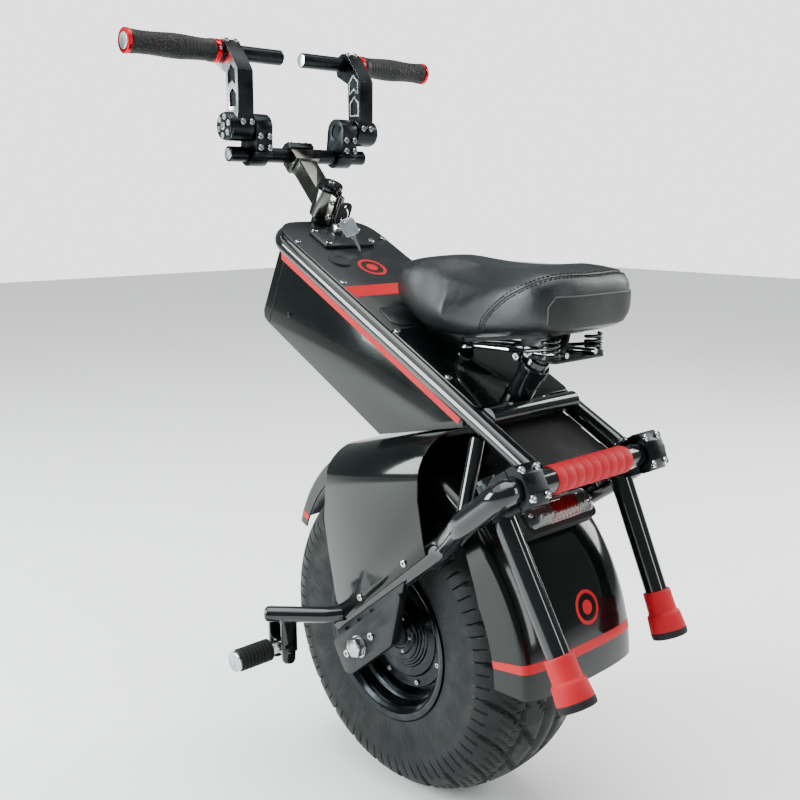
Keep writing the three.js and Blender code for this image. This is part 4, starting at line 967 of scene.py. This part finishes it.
# ---------------------------------------------------------------- seat post, pan, rails and springs
refine("seat_post", "tube_black", 0.6)
pan = refine("saddle_frame", "satin_black", 0.8)
PAN_HALF, PAN_FRONT, PAN_REAR, DRAWN_IN = 23, 100, 225, 0.3
for vertex in pan.data.vertices:
    x, y, z = (vertex.co - AXLE) / MM
    if z > 413 + 0.125 * (y - 95) and abs(x) > PAN_HALF:
        x = math.copysign(PAN_HALF + (abs(x) - PAN_HALF) * DRAWN_IN, x)
        near = min(max(y, PAN_FRONT), PAN_REAR)
        vertex.co = metres((x, near + (y - near) * DRAWN_IN, z))
bolt("saddle_clamp_bolt", (27, 196.3, 415.1), X, 7.5, "saddle", "chrome", 6)
bolt("saddle_clamp_nut", (-27, 196.3, 415.1), -X, 7, "saddle", "chrome", 5)
rail = [(-27, 252, 416), (-27, 105, 412), (-9, 62, 411), (9, 62, 411), (27, 105, 412), (27, 252, 416)]
tube("saddle_rails", rail, 3.4, "chrome", "saddle", 14, 8, 20)
wire = [(-38, 246, 424), (-40, 200, 417), (-16, 128, 411.5), (16, 128, 411.5), (40, 200, 417), (38, 246, 424)]
tube("saddle_wire", wire, 2.4, "tube_black", "saddle", 18, 8, 16)


def coil(name, base, height, radius, wire, turns, look):
    """A helical spring standing on its base."""
    steps = int(turns * 28)
    angles = [TURN * turns * i / steps for i in range(steps + 1)]
    outs = [Vector((math.cos(a), math.sin(a), 0)) for a in angles]
    points = [Vector(base) + out * radius + Z * (height * i / steps) for i, out in enumerate(outs)]
    verts = []
    for i, (point, out) in enumerate(zip(points, outs)):
        verts += hoop(point, out, direction_at(points, i).cross(out), wire, 10)
    piece(name, verts, capped_faces(len(points), 10), look, "saddle", smooth=60)


coil("front_spring", (0, 67, 404), 11, 9, 1.9, 3, "chrome")
turned("front_spring_foot", [(0, 0), (0, 11), (1, 12), (2, 11.4), (2, 0)], "satin_black", "saddle", (0, 67, 401.6),
       Z, 36, closed=False)
for side, word in SIDES:
    foot = (side * 40, 238, 411.5)
    coil(word + "_rear_spring", (side * 40, 238, 415), 20, 9.5, 2.1, 3.5, "tube_black")
    turned(word + "_spring_foot", [(0, 0), (0, 12), (1, 13), (3, 12.4), (3, 0)], "satin_black", "saddle", foot,
           Z, 36, closed=False)
    bolt(word + "_spring_bolt", foot, -Z, 4.4, "saddle", "chrome", 4)
bridge = rounded([(-52, 252, 8), (52, 252, 8), (40, 222, 6), (30, 188, 3), (24, 188, 3), (24, 225, 6),
                  (-24, 225, 6), (-24, 188, 3), (-30, 188, 3), (-40, 222, 6)])
plate("spring_bridge", bridge, 408, 411.4, Matrix.Identity(4), "satin_black", "saddle", 0.8)


# ---------------------------------------------------------------- saddle padding
# Sections from the nose to the rear: distance, half width, top and underside.
SADDLE = np.array([
    (-50, 12, 486, 468), (-44, 30, 503, 464), (-28, 44, 515, 456), (0, 52, 520, 441.5), (26, 56, 521, 429),
    (50, 60, 520.5, 426), (85, 66, 517, 426), (125, 77, 513.5, 428), (165, 89, 512.5, 434), (205, 95, 515, 440),
    (240, 93, 518, 444), (262, 82, 516, 447), (275, 60, 508.5, 453), (279, 38, 499, 462)])


def spline(points, steps):
    """A smooth curve through points."""
    result = []
    for i in range(len(points) - 1):
        a, b = points[max(i - 1, 0)], points[i]
        c, d = points[i + 1], points[min(i + 2, len(points) - 1)]
        for t in (k / steps for k in range(steps)):
            bend = (c - a) * t + (2 * a - 5 * b + 4 * c - d) * t * t + (3 * b - a - 3 * c + d) * t ** 3
            result.append(0.5 * (2 * b + bend))
    return result + [points[-1]]


def saddle_blank(shrink):
    """The saddle's shape in finer sections, drawn in all round by a small amount."""
    nose, length = SADDLE[0][0], SADDLE[-1][0] - SADDLE[0][0]
    rows = spline(list(SADDLE), 5)
    verts = []
    for y, half, top, bottom in rows:
        y = nose + shrink + (y - nose) * (length - 2 * shrink) / length
        top, bottom = top - shrink, bottom - 3.2
        for a in ring_angles(48):
            across = squared(math.cos(a), 0.52) * max(half - shrink, 2)
            up = squared(math.sin(a), 0.55) * max((top - bottom) / 2, 2)
            verts.append((across, y, (top + bottom) / 2 + up))
    return piece("saddle_cushion", verts, capped_faces(len(rows), 48), "leather", "saddle")


def values_of(mesh, attribute):
    """A vertex attribute as an array with a row for each vertex."""
    values = np.empty(len(mesh.vertices) * 3)
    mesh.vertices.foreach_get(attribute, values)
    return values.reshape(-1, 3)


def puffed(obj, cap, frames=20):
    """Fills the cushion by cloth simulation: its underside stays put and nothing moves more than the cap."""
    rest = values_of(obj.data, "co")
    held = [int(i) for i in np.nonzero(values_of(obj.data, "normal")[:, 2] < -0.75)[0]]
    obj.vertex_groups.new(name="glued").add(held, 1.0, "REPLACE")
    cloth = obj.modifiers.new("cloth", "CLOTH")
    cloth.settings.quality = 5
    cloth.settings.mass = 0.4
    cloth.settings.vertex_group_mass = "glued"
    cloth.settings.use_pressure = True
    cloth.settings.uniform_pressure_force = 4
    cloth.settings.tension_stiffness = 25
    cloth.settings.compression_stiffness = 25
    cloth.settings.bending_stiffness = 3
    cloth.settings.effector_weights.gravity = 0
    cloth.point_cache.frame_end = frames
    for number in range(1, frames + 1):
        bpy.context.scene.frame_set(number)
    bake(obj)
    obj.vertex_groups.clear()
    bpy.context.scene.frame_set(1)
    step = values_of(obj.data, "co") - rest
    far = np.linalg.norm(step, axis=1)
    step *= np.minimum(1, cap / np.maximum(far, 1e-9))[:, None]
    obj.data.vertices.foreach_set("co", (rest + step).ravel())
    obj.data.update()


def make_cushion():
    cushion = saddle_blank(2.6)
    remesh = cushion.modifiers.new("remesh", "REMESH")
    remesh.mode = "VOXEL"
    remesh.voxel_size = 0.0048
    remesh.use_smooth_shade = True
    bake(cushion)
    puffed(cushion, 0.0055)
    smooth = cushion.modifiers.new("even", "SMOOTH")
    smooth.factor = 0.5
    smooth.iterations = 3
    bake(cushion)
    cushion.modifiers.new("finer", "SUBSURF").levels = 1
    bake(cushion)
    cushion.data.polygons.foreach_set("use_smooth", [True] * len(cushion.data.polygons))
    register(cushion, "leather", "saddle", "saddle")
    return cushion


def surface_of(obj):
    return BVHTree.FromObject(obj, bpy.context.evaluated_depsgraph_get())


def evenly(points, gap):
    """Points at equal distances along a line of points."""
    lengths = np.cumsum([0] + [(b - a).length for a, b in zip(points, points[1:])])
    wanted = np.arange(0, lengths[-1], gap)
    grid = np.array([tuple(p) for p in points])
    return [Vector(p) for p in np.stack([np.interp(wanted, lengths, column) for column in grid.T], axis=1)]


def laid(points, sideways, lift):
    """A line of points laid on the cushion, moved sideways along its surface and lifted off it."""
    result = []
    for i, point in enumerate(points):
        hit, normal, _, _ = skin.find_nearest(metres(point))
        beside = hit + direction_at(points, i).cross(normal) * sideways * MM
        hit, normal, _, _ = skin.find_nearest(beside)
        result.append((hit - AXLE) / MM + normal * lift)
    near = [result[max(i - 4, 0):i + 5] for i in range(len(result))]
    return [sum(group, Vector()) / len(group) for group in near]


def cord_line(name, points, radius, look):
    """A thin line of piping through points, leaving out points closer than 0.4 mm."""
    kept = [points[0]]
    for p in points[1:]:
        if (p - kept[-1]).length > 0.4:
            kept.append(p)
    verts = []
    for i, p in enumerate(kept):
        along = direction_at(kept, i)
        out = (along.cross(Z) if abs(along.z) < 0.9 else along.orthogonal()).normalized()
        verts += hoop(p, out, along.cross(out), radius, 8)
    piece(name, verts, capped_faces(len(kept), 8), look, "saddle", smooth=60)


def stitches(name, line, length=4, pitch=5.6, radius=0.75):
    """Separate stitches of thread along a line with a point every millimetre."""
    verts, faces = [], []
    for start in (int(i * pitch) for i in range(int(len(line) / pitch))):
        run = line[start:start + length + 1]
        if len(run) < 3:
            continue
        base = len(verts)
        for k, p in enumerate(run):
            along = direction_at(run, k)
            out = along.orthogonal().normalized()
            thin = 0.45 if k in (0, len(run) - 1) else 1
            verts += hoop(p, out, along.cross(out), radius * thin, 6)
        faces += [tuple(base + v for v in face) for face in capped_faces(len(run), 6)]
    piece(name, verts, faces, "thread", "saddle", smooth=60)


def press_valley(obj, line, reach, depth):
    """Sinks the cushion along a line."""
    tree = KDTree(len(line))
    for number, point in enumerate(line):
        tree.insert(metres(point), number)
    tree.balance()
    for vertex in obj.data.vertices:
        distance = tree.find(vertex.co)[2] / MM
        if distance < reach:
            vertex.co -= vertex.normal * MM * depth * (1 - distance / reach) ** 2
    obj.data.update()


def on_skin(point, direction, lift):
    """Where a line towards the cushion meets it, lifted off the surface."""
    hit, normal, _, _ = skin.ray_cast(metres(point), direction)
    if hit is None:
        hit, normal, _, _ = skin.find_nearest(metres(point))
    return (hit - AXLE) / MM + normal * lift


cushion = make_cushion()
skin = surface_of(cushion)
# The seam that divides the top from the back panel, from one lower edge over to the other
seam_half = [(80, 160, 433), (84, 167, 443), (87.5, 174.8, 454.8), (92.6, 193.5, 471.9), (94.4, 205.8, 481),
             (93, 217.4, 489), (91, 230.9, 496.6), (84.8, 242.9, 503.2), (70.1, 254.7, 508.9), (45.3, 264.1, 512.5),
             (18, 267.4, 512.5)]
seam_points = [Vector(p) for p in seam_half + [(-x, y, z) for x, y, z in reversed(seam_half)]]
seam = laid(evenly(spline(seam_points, 10), 1.0), 0, 0)
press_valley(cushion, seam, 3.4, 1.7)
skin = surface_of(cushion)
cord_line("saddle_seam", laid(seam[::2], 0, 0.1), 0.7, "black_rubber")
for number, sideways in enumerate((-4.0, 4.0)):
    stitches(f"saddle_stitching_{number}", laid(seam, sideways, 0.25))

# Rear panel: a thin matte skin wrapped round the back of the cushion
PANEL_LOW, PANEL_HIGH, PANEL_HALF = 452, 488, 34
outer, inner = [], []
for z in np.linspace(PANEL_LOW, PANEL_HIGH, 16):
    row_out, row_in = [], []
    for degrees in np.linspace(-PANEL_HALF, PANEL_HALF, 60):
        a = math.radians(degrees)
        clipped = max(0, abs(degrees) - 30.5) * 3.2
        level = max(min(z, PANEL_HIGH - clipped), PANEL_LOW + clipped * 0.6)
        outside = Vector((math.sin(a), math.cos(a), 0))
        start = Vector((0, 150, level)) + outside * 400
        row_out.append(on_skin(start, -outside, 1.0))
        row_in.append(on_skin(start, -outside, -1.2))
    outer.append(row_out)
    inner.append(row_in)
sheet_piece("saddle_rear_panel", outer, inner, "leather_panel", "saddle")
panel_edge = [row[0] for row in outer] + outer[-1] + [row[-1] for row in reversed(outer)]
cord_line("saddle_piping", panel_edge, 0.8, "piping")

# ---------------------------------------------------------------- CAD nodes that show as they are
for node, look in (("axle", "steel"), ("motor_stator", "copper"), ("battery_pack", "battery_wrap"),
                   ("motor_controller", "anodised")):
    for part in NODES[node].material_slots:
        part.material = LOOKS[look]

# ---------------------------------------------------------------- floor, lights and camera
REACH = 9.0
floor_mesh = bpy.data.meshes.new("floor")
floor_mesh.from_pydata([(-REACH, -REACH, 0), (REACH, -REACH, 0), (REACH, REACH, 0), (-REACH, REACH, 0)], [],
                       [(0, 1, 2, 3)])
floor_look = Look("floor_paper", (0.86, 0.86, 0.86), 0.75)
floor_look.vary_rough(floor_look.noise(3, 3), 0.7, 0.8)
floor_mesh.materials.append(floor_look.material)
add("floor", floor_mesh)


def make_world():
    """A studio that is white where the camera sees it and softer where it lights the object."""
    world = bpy.data.worlds.new("studio")
    bpy.context.scene.world = world
    world.use_nodes = True
    nodes, link = world.node_tree.nodes, world.node_tree.links.new
    pale = nodes.new("ShaderNodeBackground")
    studio = nodes["Background"]
    for background, color, strength in ((studio, (0.78, 0.90, 0.86, 1), 0.28), (pale, (1, 1, 1, 1), 2.4)):
        background.inputs["Color"].default_value = color
        background.inputs["Strength"].default_value = strength
    either = nodes.new("ShaderNodeMixShader")
    link(nodes.new("ShaderNodeLightPath").outputs["Is Camera Ray"], either.inputs["Fac"])
    link(studio.outputs["Background"], either.inputs[1])
    link(pale.outputs["Background"], either.inputs[2])
    link(either.outputs["Shader"], nodes["World Output"].inputs["Surface"])


def area_light(name, position, size, power, color=(1, 1, 1)):
    """A rectangular lamp that faces the middle of the object."""
    data = bpy.data.lights.new(name, "AREA")
    data.shape = "RECTANGLE"
    data.size, data.size_y = size
    data.energy = power
    data.color = color
    lamp = add(name, data)
    lamp.location = Vector(position)
    lamp.rotation_mode = "QUATERNION"
    lamp.rotation_quaternion = (Vector((0, 0, 0.5)) - Vector(position)).to_track_quat("-Z", "Y")


make_world()
area_light("key_light", (2.5, -1.5, 1.5), (1.5, 1.7), 230, (0.90, 1.0, 0.98))
area_light("top_light", (-0.2, 0.2, 3.6), (3.0, 3.0), 120)
sun_data = bpy.data.lights.new("soft_sun", "SUN")
sun_data.energy = 2.9
sun_data.angle = math.radians(70)
add("soft_sun", sun_data).rotation_euler = (math.radians(8), math.radians(12), 0)
area_light("side_strip", (-0.6, 3.0, 1.5), (0.5, 2.2), 34)
area_light("rim_light", (-2.6, 0.8, 1.8), (1.0, 1.8), 70)

camera_data = bpy.data.cameras.new("camera")
camera_data.sensor_width = 36
camera_data.lens = 43.9
camera_data.shift_x = -0.0096
camera_data.shift_y = -0.0095
camera_data.clip_end = 50
camera = add("camera", camera_data)
camera.matrix_world = basis(Vector((-0.7414, 0.6711, 0)), Vector((-0.1310, -0.1448, 0.9808)), VIEW_BACK,
                            metres((912.9, 955.7, 595.4)))
bpy.context.scene.camera = camera
